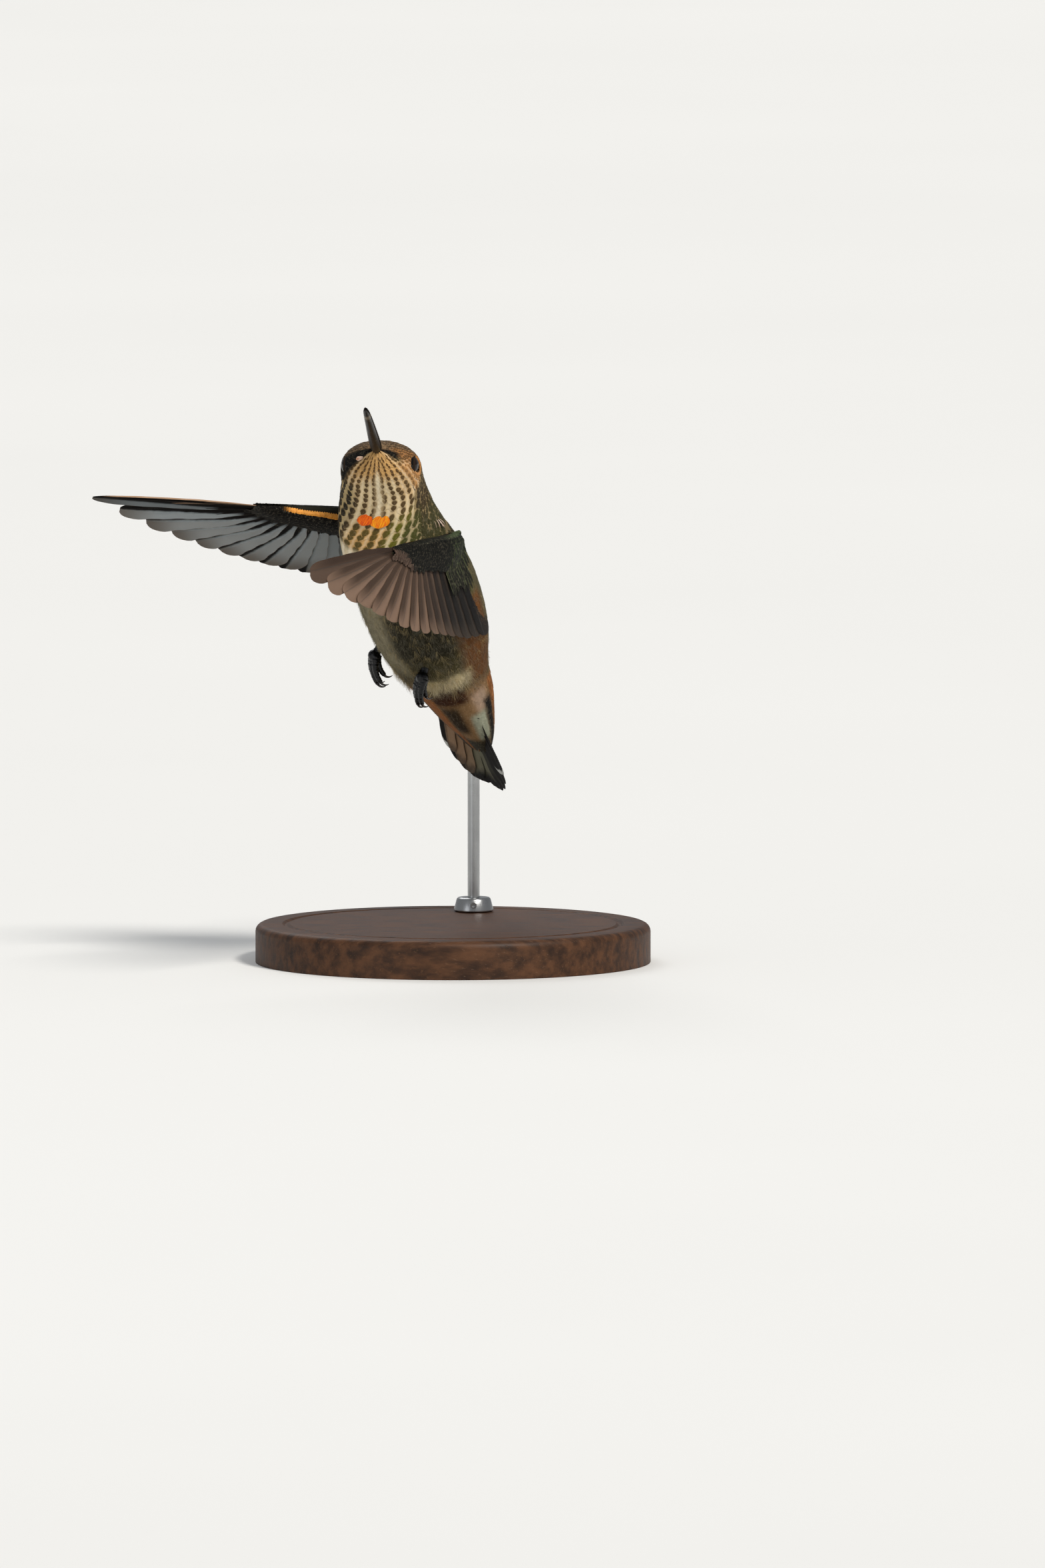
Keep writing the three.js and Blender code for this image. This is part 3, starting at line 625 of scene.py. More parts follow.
FLESH = ("head", "neck", "trunk", "rump", "wing_left_arm", "wing_right_arm")
SKIN_GROWS, SKIN_VOXEL = 0.2, 0.30
ARM_AWAY, ARM_CLEAR = 0.9, 1.4  # how far off the body the arms begin, and are fully dark
ARM_SHRINKS = 0.35  # their share of the coat's depth
ARM_DARK = "1c1f16"


def copies(*nodes):
    """Copies of solids' meshes as one object, with their loose corners merged, left in edit mode."""
    made = joined(*[new_object(node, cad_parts[node].data.copy()) for node in nodes])
    bpy.ops.object.mode_set(mode="EDIT")
    bpy.ops.mesh.select_all(action="SELECT")
    bpy.ops.mesh.remove_doubles(threshold=0.000001)
    return made


def one_skin(voxel, smooth):
    """Modifiers that fuse closed parts in one smooth skin."""
    fuse = {"mode": "VOXEL", "voxel_size": voxel * MM, "use_smooth_shade": True}
    return ("REMESH", fuse), ("SMOOTH", {"iterations": smooth})


skin = copies(*FLESH)
bpy.ops.object.mode_set(mode="OBJECT")
shaped(skin, ("DISPLACE", {"strength": SKIN_GROWS * MM, "mid_level": 0}), *one_skin(SKIN_VOXEL, 8))


def nearest_on_body(places):
    """For world places in millimetres: where they lie on the body, and how far off it."""
    tree = kdtree.KDTree(body_points.shape[0] * body_points.shape[1] // 2)
    rows, columns = np.meshgrid(np.arange(0, PLACES, 2), np.arange(TURNS), indexing="ij")
    flat_rows, flat_columns = rows.ravel(), columns.ravel()
    for i, (row, column) in enumerate(zip(flat_rows, flat_columns)):
        tree.insert(body_points[row, column], i)
    tree.balance()
    found = [tree.find(place) for place in places]
    index = np.array([f[1] for f in found])
    s = body_s[flat_rows[index]]
    c = flat_columns[index] / TURNS * 2 - 1
    return s, c, np.array([f[2] for f in found])


def points_of(thing):
    """A mesh's points, in world millimetres."""
    places = np.zeros(len(thing.data.vertices) * 3)
    thing.data.vertices.foreach_get("co", places)
    return places.reshape(-1, 3) / MM


# The thin arms shrink less than the body does, so that they keep their form.
skin_away = nearest_on_body(points_of(skin))[2]
depth = skin.vertex_groups.new(name="depth")
for share, away in ((1.0, skin_away < ARM_AWAY), (ARM_SHRINKS, skin_away >= ARM_AWAY)):
    depth.add(np.nonzero(away)[0].tolist(), share, "REPLACE")
shrink = {"strength": -(SKIN_GROWS + COAT_DEEP) * MM, "mid_level": 0, "vertex_group": "depth"}
shaped(skin, ("DISPLACE", shrink))

# Lids: a soft rolled fold round each eye, hugging the ball.
SIDES = {"left": 1, "right": -1}
EYE_AT = np.array((4.2, -0.3, 0.9))
EYE_RADIUS = 1.75
LID_RADIUS, LID_THICK, LID_OUT = 1.24, 0.17, 1.22
LID_PAINT, LID_REACH = "241b14", (2.1, 2.4)


def eye_centre(side):
    return TRUNK_AT + BIRD @ (HEAD_AT + BIRD.T @ HEAD @ (EYE_AT * (side, 1, 1)))


def eye_outward(side):
    return HEAD[:, 0] * side


skin.data.materials.clear()
lids = []
for side in SIDES.values():
    facing = Vector(eye_outward(side))
    bpy.ops.mesh.primitive_torus_add(
        major_segments=56, minor_segments=14, major_radius=LID_RADIUS * MM, minor_radius=LID_THICK * MM,
        location=Vector(eye_centre(side) * MM) + facing * LID_OUT * MM,
        rotation=facing.to_track_quat("Z", "Y").to_euler(),
    )
    bpy.ops.object.transform_apply(location=True, rotation=True, scale=True)
    bpy.ops.object.shade_smooth()
    lids.append(bpy.context.object)
joined(*lids, skin)


def skin_colours(thing):
    """Skin and feathers carry the same markings; the wing arms and the lids are dark."""
    places = points_of(thing)
    s, c, away = nearest_on_body(places)
    edge, middle, _ = marked(s, c)
    colour = toward(edge * 0.45 + middle * 0.4, ARM_DARK, smoothly(ARM_AWAY, ARM_CLEAR, away))
    for side in SIDES.values():
        near = np.linalg.norm(places - eye_centre(side), axis=1)
        colour = toward(colour, LID_PAINT, 1 - smoothly(*LID_REACH, near))
    layer = thing.data.attributes.new("Edge", "FLOAT_COLOR", "POINT")
    layer.data.foreach_set("color", np.column_stack((colour, np.ones(len(colour)))).ravel())


def bare_skin(start):
    colour = start.attribute("Edge")
    place = start.here()
    down = start.noise(place, 1800.0, 4.0, 0.6)
    return {
        "Base Color": start.mix(down * 0.6, colour, paint("2a2118")),
        "Roughness": 0.85,
        "Specular IOR Level": 0.1,
        "Normal": start.bumped(down, 0.00008),
    }


skin_colours(skin)
finish_piece(skin, "skin", material("bare_skin", bare_skin), FLESH)

# ---- Eyes ----------------------------------------------------------------------------------------
# A glossy dark ball in each socket, a little fuller at the clear front, with a deep brown iris
# that hardly shows round the pupil.
PUPIL, IRIS = 0.84, 0.76  # where they end, from the ball's rear pole to its front one
CORNEA_OUT, CORNEA_WIDE = 0.00009, 0.0010


def wet_eye(start):
    place = start.uv("UVMap")
    front = place.parts(1)
    rays = start.noise(start.stretched(place, 90.0, 3.0, 1.0), 1.0, 2.0)
    iris = front.between(IRIS - 0.02, IRIS) * front.between(PUPIL + 0.012, PUPIL)
    brown = start.mix(rays, paint("0d0704"), paint("221208"))
    return {
        "Base Color": start.mix(iris, paint("030303"), brown),
        "Roughness": 0.05,
        "Specular IOR Level": 0.28,
    }


WET_EYE = material("wet_eye", wet_eye)
for side_name, side in SIDES.items():
    facing = Vector(eye_outward(side))
    bpy.ops.mesh.primitive_uv_sphere_add(
        segments=56, ring_count=36, radius=EYE_RADIUS * MM, location=Vector(eye_centre(side) * MM),
        rotation=facing.to_track_quat("Z", "Y").to_euler(),
    )
    ball = bpy.context.object
    pick_faces(ball, lambda centre, normal: normal.z > 0.86)
    bpy.ops.transform.shrink_fatten(
        value=CORNEA_OUT, use_proportional_edit=True, proportional_edit_falloff="SMOOTH",
        proportional_size=CORNEA_WIDE,
    )
    bpy.ops.object.mode_set(mode="OBJECT")
    bpy.ops.object.shade_smooth()
    finish_piece(ball, f"eye_{side_name}_ball", WET_EYE, [f"eye_{side_name}"])

# ---- Bill ----------------------------------------------------------------------------------------
# Two slim horny halves that close on one another, black and glossy, with a painted highlight: a paler band
# behind the tip.
bill_from = TRUNK_AT + BIRD @ (HEAD_AT + BIRD.T @ HEAD[:, 2] * FACE)
bill_line = HEAD[:, 2]
PAIRED = math.radians(60)  # how unlike two triangles may be that make one four-sided face
HIGHLIGHT_FROM, HIGHLIGHT_TO = (12.2, 13.2), (14.0, 13.4)  # where the pale band fades in and out, from the root


def bill_horn(start):
    place = start.here()
    first, *others = ((place.parts(k) * 1000 - float(bill_from[k])) * float(bill_line[k]) for k in range(3))
    along = sum(others, first)
    fibres = start.noise(start.stretched(place, 2600.0, 260.0, 700.0), 1.0, 4.0, 0.6)
    scuffs = start.noise(place, 1900.0, 4.0).between(0.60, 0.72)
    # a painted highlight: a paler band behind the tip
    wear_and_highlight = along.between(*HIGHLIGHT_FROM) * along.between(*HIGHLIGHT_TO)
    horn = start.mix(fibres, paint("060505"), paint("1a130d"))
    horn = start.mix(scuffs * 0.30, horn, paint("5c4632"))
    return {
        "Base Color": start.mix(wear_and_highlight * 0.5, horn, paint("8a7c66")),
        "Roughness": fibres * 0.2 + 0.26,
        "Specular IOR Level": 0.28,
        "Normal": start.bumped(fibres + scuffs, 0.00004),
    }


BILL_HORN = material("bill_horn", bill_horn)
for half in ("upper", "lower"):
    bill = copies(f"bill_{half}")
    bpy.ops.mesh.tris_convert_to_quads(face_threshold=PAIRED, shape_threshold=PAIRED)
    bpy.ops.object.mode_set(mode="OBJECT")
    shaped(bill, ("SUBSURF", {"levels": 3}))
    bpy.ops.object.shade_smooth()
    finish_piece(bill, f"bill_{half}_horn", BILL_HORN, [f"bill_{half}"])

# ---- Legs and feet -------------------------------------------------------------------------------
# Tiny weak feet: a bare shank, three toes ahead and one behind, drawn together in a loose fist.
# Scaly black skin with a ridge of scutes down each toe, and a hooked claw of black horn.
LEG_OUT = 1.5
LEG_POINTS = np.array((0.2, -0.8, -0.56))
LEG_AT = np.array((5.3, -7.7, -5.2))
LEG_THICK, LEG_SUNK, LEG_PAST = 0.65, 1.6, 0.3
SHANK_RINGS, SCUTE_RINGS, CLAW_RINGS = 15, 4, 16
FOOT_TURN = {"left": (-50, 2, 20), "right": (-62, 6, 4)}  # yaw, pitch and roll in degrees
TOE_LONG, TOE_CURL, TOE_APART, TOE_FAN = 4.9, 60, 0.64, 1.5
TOE_THICK, TOE_TIP, KNUCKLE = 0.56, 0.36, 1.0
TOES = {  # place across, length, lean of its start, and how far back it starts
    "inner": (-1, 0.9, -20, 0), "middle": (0, 1, -24, 0), "outer": (1, 0.93, -22, 0),
    "hind": (0.3, 0.74, -14, 0.62),
}
CLAW_LONG, CLAW_THICK, CLAW_CURL, CLAW_SUNK = 1.8, 0.26, 95, 0.3
SCUTES = 11
FOOT_VOXEL = 0.08


def turn_matrix(axis, degrees):
    cos, sin = math.cos(math.radians(degrees)), math.sin(math.radians(degrees))
    x, y, z = {
        "x": ((1, 0, 0), (0, cos, -sin), (0, sin, cos)),
        "y": ((cos, 0, sin), (0, 1, 0), (-sin, 0, cos)),
        "z": ((cos, -sin, 0), (sin, cos, 0), (0, 0, 1)),
    }[axis]
    return np.array((x, y, z), float)


def curled(long, curl, lean, start, steps):
    """Points of a toe or claw that hangs from its start and curls, and the lean of its end."""
    bends = np.radians(lean + curl * np.arange(steps) / steps)
    moves = np.column_stack((0 * bends, np.sin(bends), -np.cos(bends))) * long / steps
    return np.vstack((start, start + np.cumsum(moves, axis=0))), lean + curl * (steps - 0.5) / steps


def tube(points, radii):
    """A closed round bar through points in world millimetres, as a mesh."""
    line = bpy.data.curves.new("bar", "CURVE")
    line.dimensions = "3D"
    line.bevel_depth = MM
    line.bevel_resolution = 4
    line.use_fill_caps = True
    spline = line.splines.new("POLY")
    spline.points.add(len(points) - 1)
    for stop, place, radius in zip(spline.points, points, radii):
        stop.co = (*(place * MM), 1)
        stop.radius = radius
    new_object("bar", line)
    bpy.ops.object.convert(target="MESH")
    return bpy.context.object


def foot_skin(start):
    place = start.here()
    sockets = {"Vector": place, "Scale": 2400.0}
    cells = start.node("ShaderNodeTexVoronoi", {"feature": "DISTANCE_TO_EDGE"}, sockets, "Distance")
    scales = cells.between(0.02, 0.22)
    grime = start.noise(place, 900.0, 3.0)
    colour = start.mix(scales, paint("020202"), paint("070708"))
    return {
        "Base Color": start.mix(grime.between(0.60, 0.78) * 0.15, colour, paint("1e1b18")),
        "Roughness": 0.24 - scales * 0.10,
        "Specular IOR Level": 0.22,
        "Coat Weight": 0.12,
        "Coat Roughness": 0.04,
        "Normal": start.bumped(scales, 0.000014),
    }


def claw_horn(start):
    place = start.here()
    layers = start.noise(start.stretched(place, 1200.0, 1200.0, 5200.0), 1.0, 3.0)
    return {
        "Base Color": start.mix(layers, paint("080707"), paint("2a211a")),
        "Roughness": layers * 0.12 + 0.16,
        "Coat Weight": 0.5,
        "Coat Roughness": 0.1,
        "Normal": start.bumped(layers, 0.00002),
    }


FOOT_SKIN = material("foot_skin", foot_skin)
CLAW_HORN = material("claw_horn", claw_horn)
for side_name, side in SIDES.items():
    yaw, pitch, roll = FOOT_TURN[side_name]
    mirror = np.array((side, 1, 1))
    outward = unit(LEG_POINTS * mirror)
    ankle = LEG_AT * mirror + outward * LEG_OUT
    foot = turn_matrix("z", yaw) @ turn_matrix("x", pitch) @ turn_matrix("y", roll)
    ankle_at = BIRD @ ankle + TRUNK_AT
    skin_parts, claw_parts = [], []
    shank = np.linspace(0, 1, SHANK_RINGS)[:, None]
    shank_line = ankle + outward * (LEG_PAST - (LEG_PAST + LEG_OUT + LEG_SUNK) * (1 - shank))
    ripple = 1 + 0.04 * np.sin(np.linspace(0, 30, SHANK_RINGS))
    skin_parts.append(tube(shank_line @ BIRD.T + TRUNK_AT, LEG_THICK * ripple))
    bpy.ops.mesh.primitive_uv_sphere_add(
        segments=32, ring_count=20, radius=KNUCKLE * MM, location=Vector(ankle_at * MM)
    )
    skin_parts.append(bpy.context.object)
    for toe, (place, long, lean, start) in TOES.items():
        spread = turn_matrix("y", -TOE_FAN * place)
        aside = np.array((TOE_APART * place, 0, 0))
        lay = lambda points: (points @ spread.T + aside) @ foot.T + ankle_at
        line, end_lean = curled(TOE_LONG * long, TOE_CURL, lean, (0, start, 0), SCUTES * SCUTE_RINGS)
        share = np.linspace(0, 1, len(line))
        thick = TOE_THICK + (TOE_TIP - TOE_THICK) * share
        joints = 1 + 0.08 * np.cos(share * 3 * 2 * np.pi) ** 2
        scutes = 1 + 0.10 * (np.abs(np.sin(share * SCUTES * np.pi)) - 0.6)
        thick = thick * joints * scutes * np.where(share > 0.96, 0.8, 1)
        skin_parts.append(tube(lay(line), thick))
        end = np.radians(end_lean)
        root = line[-1] - CLAW_SUNK * np.array((0, math.sin(end), -math.cos(end)))
        hook, _ = curled(CLAW_LONG, CLAW_CURL, end_lean - 15, root, CLAW_RINGS)
        share = np.linspace(0, 1, len(hook))
        claw_parts.append((toe, tube(lay(hook), CLAW_THICK * (1 - share * 0.86) ** 0.8)))
    whole = joined(*skin_parts[1:], skin_parts[0])
    shaped(whole, *one_skin(FOOT_VOXEL, 3))
    covered = [f"leg_{side_name}", f"foot_{side_name}"]
    finish_piece(whole, f"foot_{side_name}_skin", FOOT_SKIN, covered)
    for toe, claw in claw_parts:
        pick(claw)
        bpy.ops.object.shade_smooth()
        finish_piece(claw, f"claw_{side_name}_{toe}_horn", CLAW_HORN, [f"claw_{side_name}_{toe}"])

# ---- Coat ----------------------------------------------------------------------------------------
# Small contour feathers lie in rows from the bill to the tail, each over the roots of the next, as
# shingles do. Each is a thin closed vane with a ragged round end, cupped over the body.
chance = np.random.default_rng(7)
VANE_ALONG = np.array((0, 0.25, 0.5, 0.68, 0.82, 0.93, 1.0))
VANE_WIDTH = np.array((0.30, 0.74, 0.98, 1.0, 0.92, 0.72, 0.36))
VANE_ACROSS = np.array((-1, -0.64, -0.22, 0.22, 0.64, 1))
BLUNT, MOST_WORN = 0.16, 0.03  # how short a vane's end is at its sides, and how far it may be frayed
PATCH = 0.003  # how big a feather's place is on the map that its colours are kept on


def vane_faces(across, along):
    """Faces of a vane that is a grid of points on top and the inside of that grid below, and how many
    points it has."""
    top = np.arange(across * along).reshape(along, across)
    under = top.copy()
    inner = (along - 2) * (across - 2)
    under[1:-1, 1:-1] = across * along + np.arange(inner).reshape(along - 2, across - 2)
    up = np.stack((top[:-1, :-1], top[:-1, 1:], top[1:, 1:], top[1:, :-1]), -1).reshape(-1, 4)
    down = np.stack((under[:-1, :-1], under[1:, :-1], under[1:, 1:], under[:-1, 1:]), -1).reshape(-1, 4)
    return np.concatenate((up, down)), across * along + inner


def both_sides(grid):
    """What a vane's points have on top, then below."""
    return np.concatenate((grid.ravel(), grid[1:-1, 1:-1].ravel()))


def laid(name, points, faces, local, homes, per, colours):
    """A mesh of many small things alike, each with `per` points and its own patch of the map."""
    local = np.tile(local, (len(homes), 1))
    bake = np.repeat(homes, len(local) // len(homes), axis=0) + (local - 0.5) * PATCH
    faces = (faces[None] + (np.arange(len(local) // per) * per)[:, None, None]).reshape(-1, 4)
    colours = {key: value.reshape(-1, 3) for key, value in colours.items()}
    return joined_mesh(name, points.reshape(-1, 3), faces, colours, {"Vane": local, "OFBake": bake})


def lay_vanes(name, lie, long, half, low, high, thick, homes, colours_at, ragged=0.05, arch=0.5):
    """Joins many vanes into one mesh. lie(ahead, aside, rise) puts each vane's points on the bird, and
    also gives their places there, which colours_at takes."""
    grid = len(long), len(VANE_ALONG), len(VANE_ACROSS)
    a, u, width = np.broadcast_arrays(VANE_ALONG[:, None], VANE_ACROSS, VANE_WIDTH[:, None])
    long, half, low, high = (values[:, None, None] for values in (long, half, low, high))
    round_end = BLUNT * np.clip((a - 0.5) / 0.5, 0, 1) ** 2 * u**2
    wear_and_highlight = np.clip(chance.normal(0, ragged, grid), -MOST_WORN, MOST_WORN)
    ahead = (a - round_end + wear_and_highlight * np.clip(a * 4 - 3, 0, 1)) * long
    aside = (u * width + chance.normal(0, ragged, grid) * a) * half
    rise = low + (high - low) * (1 - (1 - a) ** 2.4) - arch * u**2 * a * np.minimum(half, 0.5) * 0.4
    body = 0.3 + 0.7 * (1 - u**4) * np.clip(a * 6, 0, 1) * np.clip((1 - a) * 8, 0, 1)
    sides = ((ahead, ahead), (aside, aside), (rise, rise - thick * body))
    inside = (slice(None), slice(1, -1), slice(1, -1))
    points, *places = lie(*(
        np.concatenate((top.reshape(grid[0], -1), under[inside].reshape(grid[0], -1)), 1)
        for top, under in sides
    ))
    faces, per = vane_faces(len(VANE_ACROSS), len(VANE_ALONG))
    local = np.column_stack((both_sides(u) * 0.5 + 0.5, both_sides(a)))
    made = laid(name, points, faces[:, ::-1], local, homes, per, colours_at(*places))
    bpy.ops.object.shade_smooth_by_angle(angle=math.radians(80))
    return made


def body_homes(s, c):
    """The places of the feathers' roots on the skin's own shape, opened flat along the back."""
    return np.column_stack((0.01 + 0.98 * (c + 1) / 2 % 1.0, 0.01 + 0.98 * (s - TAIL_END) / spine_long))


EYE_OPEN, EYE_FLOW = 1.08, 5  # how far the lids lie bare, and how far out the feathers part
EYE_FRONT = 1.9  # how far out from an eye's middle its place on the body is read
eye_fronts = [eye_centre(side) + eye_outward(side) * EYE_FRONT for side in SIDES.values()]
eye_s, eye_c, _ = nearest_on_body(eye_fronts)


def round_the_eyes(s, c, turn, long, half):
    """Feathers part round each eye as water does round a post, and end before its rim."""
    keep = np.ones(len(s), bool)
    for s_eye, c_eye in zip(eye_s, eye_c):
        y = (c - c_eye) * body_read_rounds(s) / 2
        x = (s_eye - s) * body_read(body_stretch, s, c)
        r = np.hypot(x, y)
        near = r < EYE_FLOW
        safe = np.maximum(r, EYE_OPEN)
        flow_x = 1 - EYE_OPEN**2 * (x**2 - y**2) / safe**4
        flow_y = -2 * EYE_OPEN**2 * x * y / safe**4
        turn[near] += np.arctan2(flow_y, np.maximum(flow_x, 0.02))[near] * 0.9
        # How far a feather may reach before it meets the rim.
        dx, dy = np.cos(turn), np.sin(turn)
        meet = -(x * dx + y * dy)
        gap = r**2 - meet**2
        hits = near & (meet > 0) & (gap < (EYE_OPEN + half * 0.5) ** 2)
        room = meet - np.sqrt(np.clip(EYE_OPEN**2 - gap, 0, None))
        long[hits] = np.minimum(long[hits], np.maximum(room[hits], 0.3))
        half[near] *= (0.55 + 0.45 * smoothly(1.5, 4.5, r))[near]
        keep &= r > EYE_OPEN
    return keep


def body_read_rounds(s):
    return np.interp(s, body_s, body_rounds)


def body_lie(s0, c0, turn):
    """A way to put points on the body: ahead is tailward and aside to the bird's left."""
    along = 1 / body_read(body_stretch, s0, c0)
    around = 2 / body_read_rounds(s0)
    cos, sin = np.cos(turn)[:, None], np.sin(turn)[:, None]

    def lie(ahead, aside, rise):
        forward = ahead * cos - aside * sin
        sideways = ahead * sin + aside * cos
        s = s0[:, None] - forward * along[:, None]
        c = c0[:, None] + sideways * around[:, None]
        s = np.clip(s, TAIL_END + 0.1, None)
        return body_read(body_points, s, c) + body_read(body_outward, s, c) * rise[..., None], s, c

    return lie


def body_colours(light):
    """The markings at each point of each feather, and each feather a little lighter or darker."""

    def colours_at(s, c):
        edge, middle, shape = marked(s, c)
        return {"Edge": edge * light[:, None, None], "Middle": middle * light[:, None, None], "Shape": shape}

    return colours_at


def lattice(bill_end, tail_end, low, high, columns, step):
    """Roots in columns round the body, each column half a step on from the next: their places along
    and round it, and the step there. step is a number, or gives one for a place along the body."""
    spots = []
    for k in range(columns):
        c = -1 + (2 * k + 1) / columns
        if not low <= abs(c) < high:
            continue
        s = bill_end
        one = step(s) if callable(step) else step
        if k % 2:
            s -= one / 2
        while s > tail_end:
            one = step(s) if callable(step) else step
            spots.append((s, c, one))
            s -= one
    return np.array(spots).T


def contour_coat(
    name, spots, cover=2.8, wide=1.9, columns=24, stir=1.0, ragged=0.05, proud=0.0, shade_tone=1.0
):
    """A coat of contour feathers with the body's markings. cover and wide are how far each reaches over the
    next ones behind and beside it; stir is how far the rows are out of line; a tone below 1 paints every
    feather darker, as painted shade."""
    s, c, step = spots
    s = s + chance.normal(0, 0.10, len(s)) * stir * step
    c = c + chance.normal(0, 0.08, len(s)) * stir / columns
    turn = chance.normal(0, 0.07, len(s)) * stir
    long = step * body_read(body_stretch, s, c) * cover * chance.uniform(0.92, 1.1, len(s))
    half = body_read_rounds(s) / columns * wide / 2 * chance.uniform(0.92, 1.08, len(s))
    keep = round_the_eyes(s, c, turn, long, half)
    s, c, turn, long, half = (values[keep] for values in (s, c, turn, long, half))
    high = proud + chance.normal(0, 0.02, len(s)) * stir
    deep = np.full(len(s), -COAT_DEEP)
    light = chance.normal(shade_tone, 0.05, len(s))
    made = lay_vanes(
        name, body_lie(s, c, turn), long, half, deep, high, 0.03, body_homes(s, c), body_colours(light),
        ragged=ragged, arch=0.3,
    )
    finish_piece(made, name, PLUMAGE)


def plumage(start):
    """Edge and middle of each feather, fine barbs slanting from its shaft, and a faint gloss."""
    place = start.uv("Vane")
    across = abs(place.parts(0) * 2 - 1)
    along = place.parts(1)
    shape = start.attribute("Shape")
    mottle = start.noise(start.here(), 2600.0, 3.0)
    streaks = start.noise(start.stretched(place, 26.0, 3.2, 1.0), 1.0, 2.0)
    wide = (across / (shape.parts(0) + 0.001)) ** 2
    deep = ((along - 0.80) / (shape.parts(1) + 0.001)) ** 2
    spot = (wide + deep + (mottle - 0.5) * 0.7 + (streaks - 0.5) * 0.6).between(1.45, 0.55)
    lanes = shape.parts(1).between(0.225, 0.205)
    ground = start.mix(lanes * across.between(0.6, 0.2) * 0.30, start.attribute("Edge"), paint("75502a"))
    ground = start.mix(lanes * across.between(0.45, 0.85) * 0.24, ground, paint("f6ead2"))
    colour = start.mix(spot, ground, start.attribute("Middle"))
    shade = (streaks - 0.5) * 0.7 + (mottle - 0.5) * 0.5
    lit = start.mix(shade.between(0.0, 0.35) * 0.22, colour, paint("efe0c2"))
    dark = start.mix(shade.between(0.0, -0.35) * 0.34, lit, paint("0b0907"))
    gloss = spot * shape.parts(2)
    return {
        "Base Color": dark,
        "Roughness": 0.80 - gloss * 0.75,
        "Metallic": gloss * 0.5,
        "Specular IOR Level": 0.1,
        "Normal": start.bumped(streaks, 0.00002),
    }


PLUMAGE = material("plumage", plumage)


def throat_step(s):
    """How far apart the rows are, down the throat from the chin's small feathers."""
    return 0.42 + 0.40 * (1 - smoothly(31.5, 35, s)) + 0.52 * (1 - smoothly(25, 31.5, s))


def face_step(s):
    return 0.30 + 0.52 * (1 - smoothly(20, 34, s))


contour_coat(
    "throat_feathers", lattice(35.9, 15, 0, 0.44, 24, throat_step),
    wide=1.34, stir=0.42, ragged=0.012,
)
contour_coat(
    "face_feathers", lattice(35.7, 15, 0.42, 1.0, 54, face_step),
    columns=54, cover=3.0, ragged=0.03,
)
contour_coat(
    "breast_feathers", lattice(15.8, -13, 0, 0.60, 60, 0.85),
    columns=60, cover=3.6, wide=2.4, stir=0.6, ragged=0.02,
)
contour_coat(
    "back_feathers", lattice(15.8, -14, 0.58, 1.0, 68, 0.78),
    columns=68, cover=3.8, wide=2.1, stir=0.8, ragged=0.03,
)
contour_coat(
    "tail_coverts", lattice(-12, -25.5, 0, 1.0, 36, 1.2),
    columns=36, cover=4.2, wide=2.7, stir=0.5, ragged=0.015,
)

# Round each eye, two rows of the tiniest feathers stand outwards over the lid's edge: buff-orange at the
# left eye, and painted dark at the right one as painted shade.
RING_FEATHERS, RING_RADIUS = 40, 1.12
RING_PAINTS = ("b9793a", "1a1511")
for side_name, s_eye, c_eye, ring_paint in zip(SIDES, eye_s, eye_c, RING_PAINTS):
    row = np.repeat((0, 1), RING_FEATHERS)
    angle = (np.tile(np.arange(RING_FEATHERS), 2) + row * 0.5) / RING_FEATHERS * 2 * np.pi
    radius = RING_RADIUS - 0.10 * row
    ring_s = s_eye - radius * np.cos(angle) / body_read(body_stretch, s_eye, c_eye)
    ring_c = c_eye + radius * np.sin(angle) * 2 / body_read_rounds(s_eye)
    count = len(angle)
    light = chance.normal(1, 0.1, count)[:, None, None]

    def ring_colours(s, c):
        edge, _, shape = marked(s, c)
        mixed = (edge * 0.45 + rgb(ring_paint) * 0.55) * light
        return {"Edge": mixed, "Middle": mixed * 0.8, "Shape": shape}

    made = lay_vanes(
        "ring", body_lie(ring_s, ring_c, angle), chance.uniform(0.42, 0.58, count), np.full(count, 0.15),
        -0.14 + 0.05 * row, 0.06 * row, 0.03, body_homes(ring_s, ring_c), ring_colours,
    )
    finish_piece(made, f"eye_ring_{side_name}", PLUMAGE)

# The throat's one lit patch is two broad overlapping feathers of metallic orange. A short pale feather
# lies across the right lore, and a tuft of thin ones at the left shoulder.
def single_feathers(name, spots, stuff):
    """Feathers placed one by one: place, turn, length, half width, rise and two colours."""
    s, c, turn, long, half, rise = np.array([spot[:6] for spot in spots], float).T
    edges, middles = (np.array([rgb(spot[k]) for spot in spots])[:, None] for k in (6, 7))

    def colours_at(s, c):
        full = np.ones((*s.shape, 3))
        return {"Edge": full * edges, "Middle": full * middles, "Shape": full * (0.5, 0.3, 0.4)}

    made = lay_vanes(
        name, body_lie(s, c, np.radians(turn)), long, half, np.full(len(s), -0.2), rise, 0.07,
        body_homes(s, c), colours_at, ragged=0.0, arch=0.3,
    )
    shaped(made, ("SUBSURF", {"levels": 2}))
    finish_piece(made, name, stuff)


def lit_gorget(start):
    """Barbs run down each feather, from deep red-orange to yellow, with a metallic gloss."""
    place = start.uv("Vane")
    across, along = place.parts(0), place.parts(1)
    streak = start.noise(start.stretched(place, 44.0, 1.8, 1.0), 1.0, 2.0, 0.6)
    rim = along.between(0.93, 1.0) * 0.6 + abs(across * 2 - 1).between(0.75, 1.0) * 0.5
    glow = streak.between(0.40, 0.58)
    colour = start.mix(glow, start.attribute("Edge"), start.attribute("Middle"))
    return {
        "Base Color": start.mix(rim, colour, paint("a8330a")),
        "Roughness": 0.38,
        "Metallic": glow * 0.35,
        "Specular IOR Level": 0.25,
        "Normal": start.bumped(streak, 0.00008),
    }


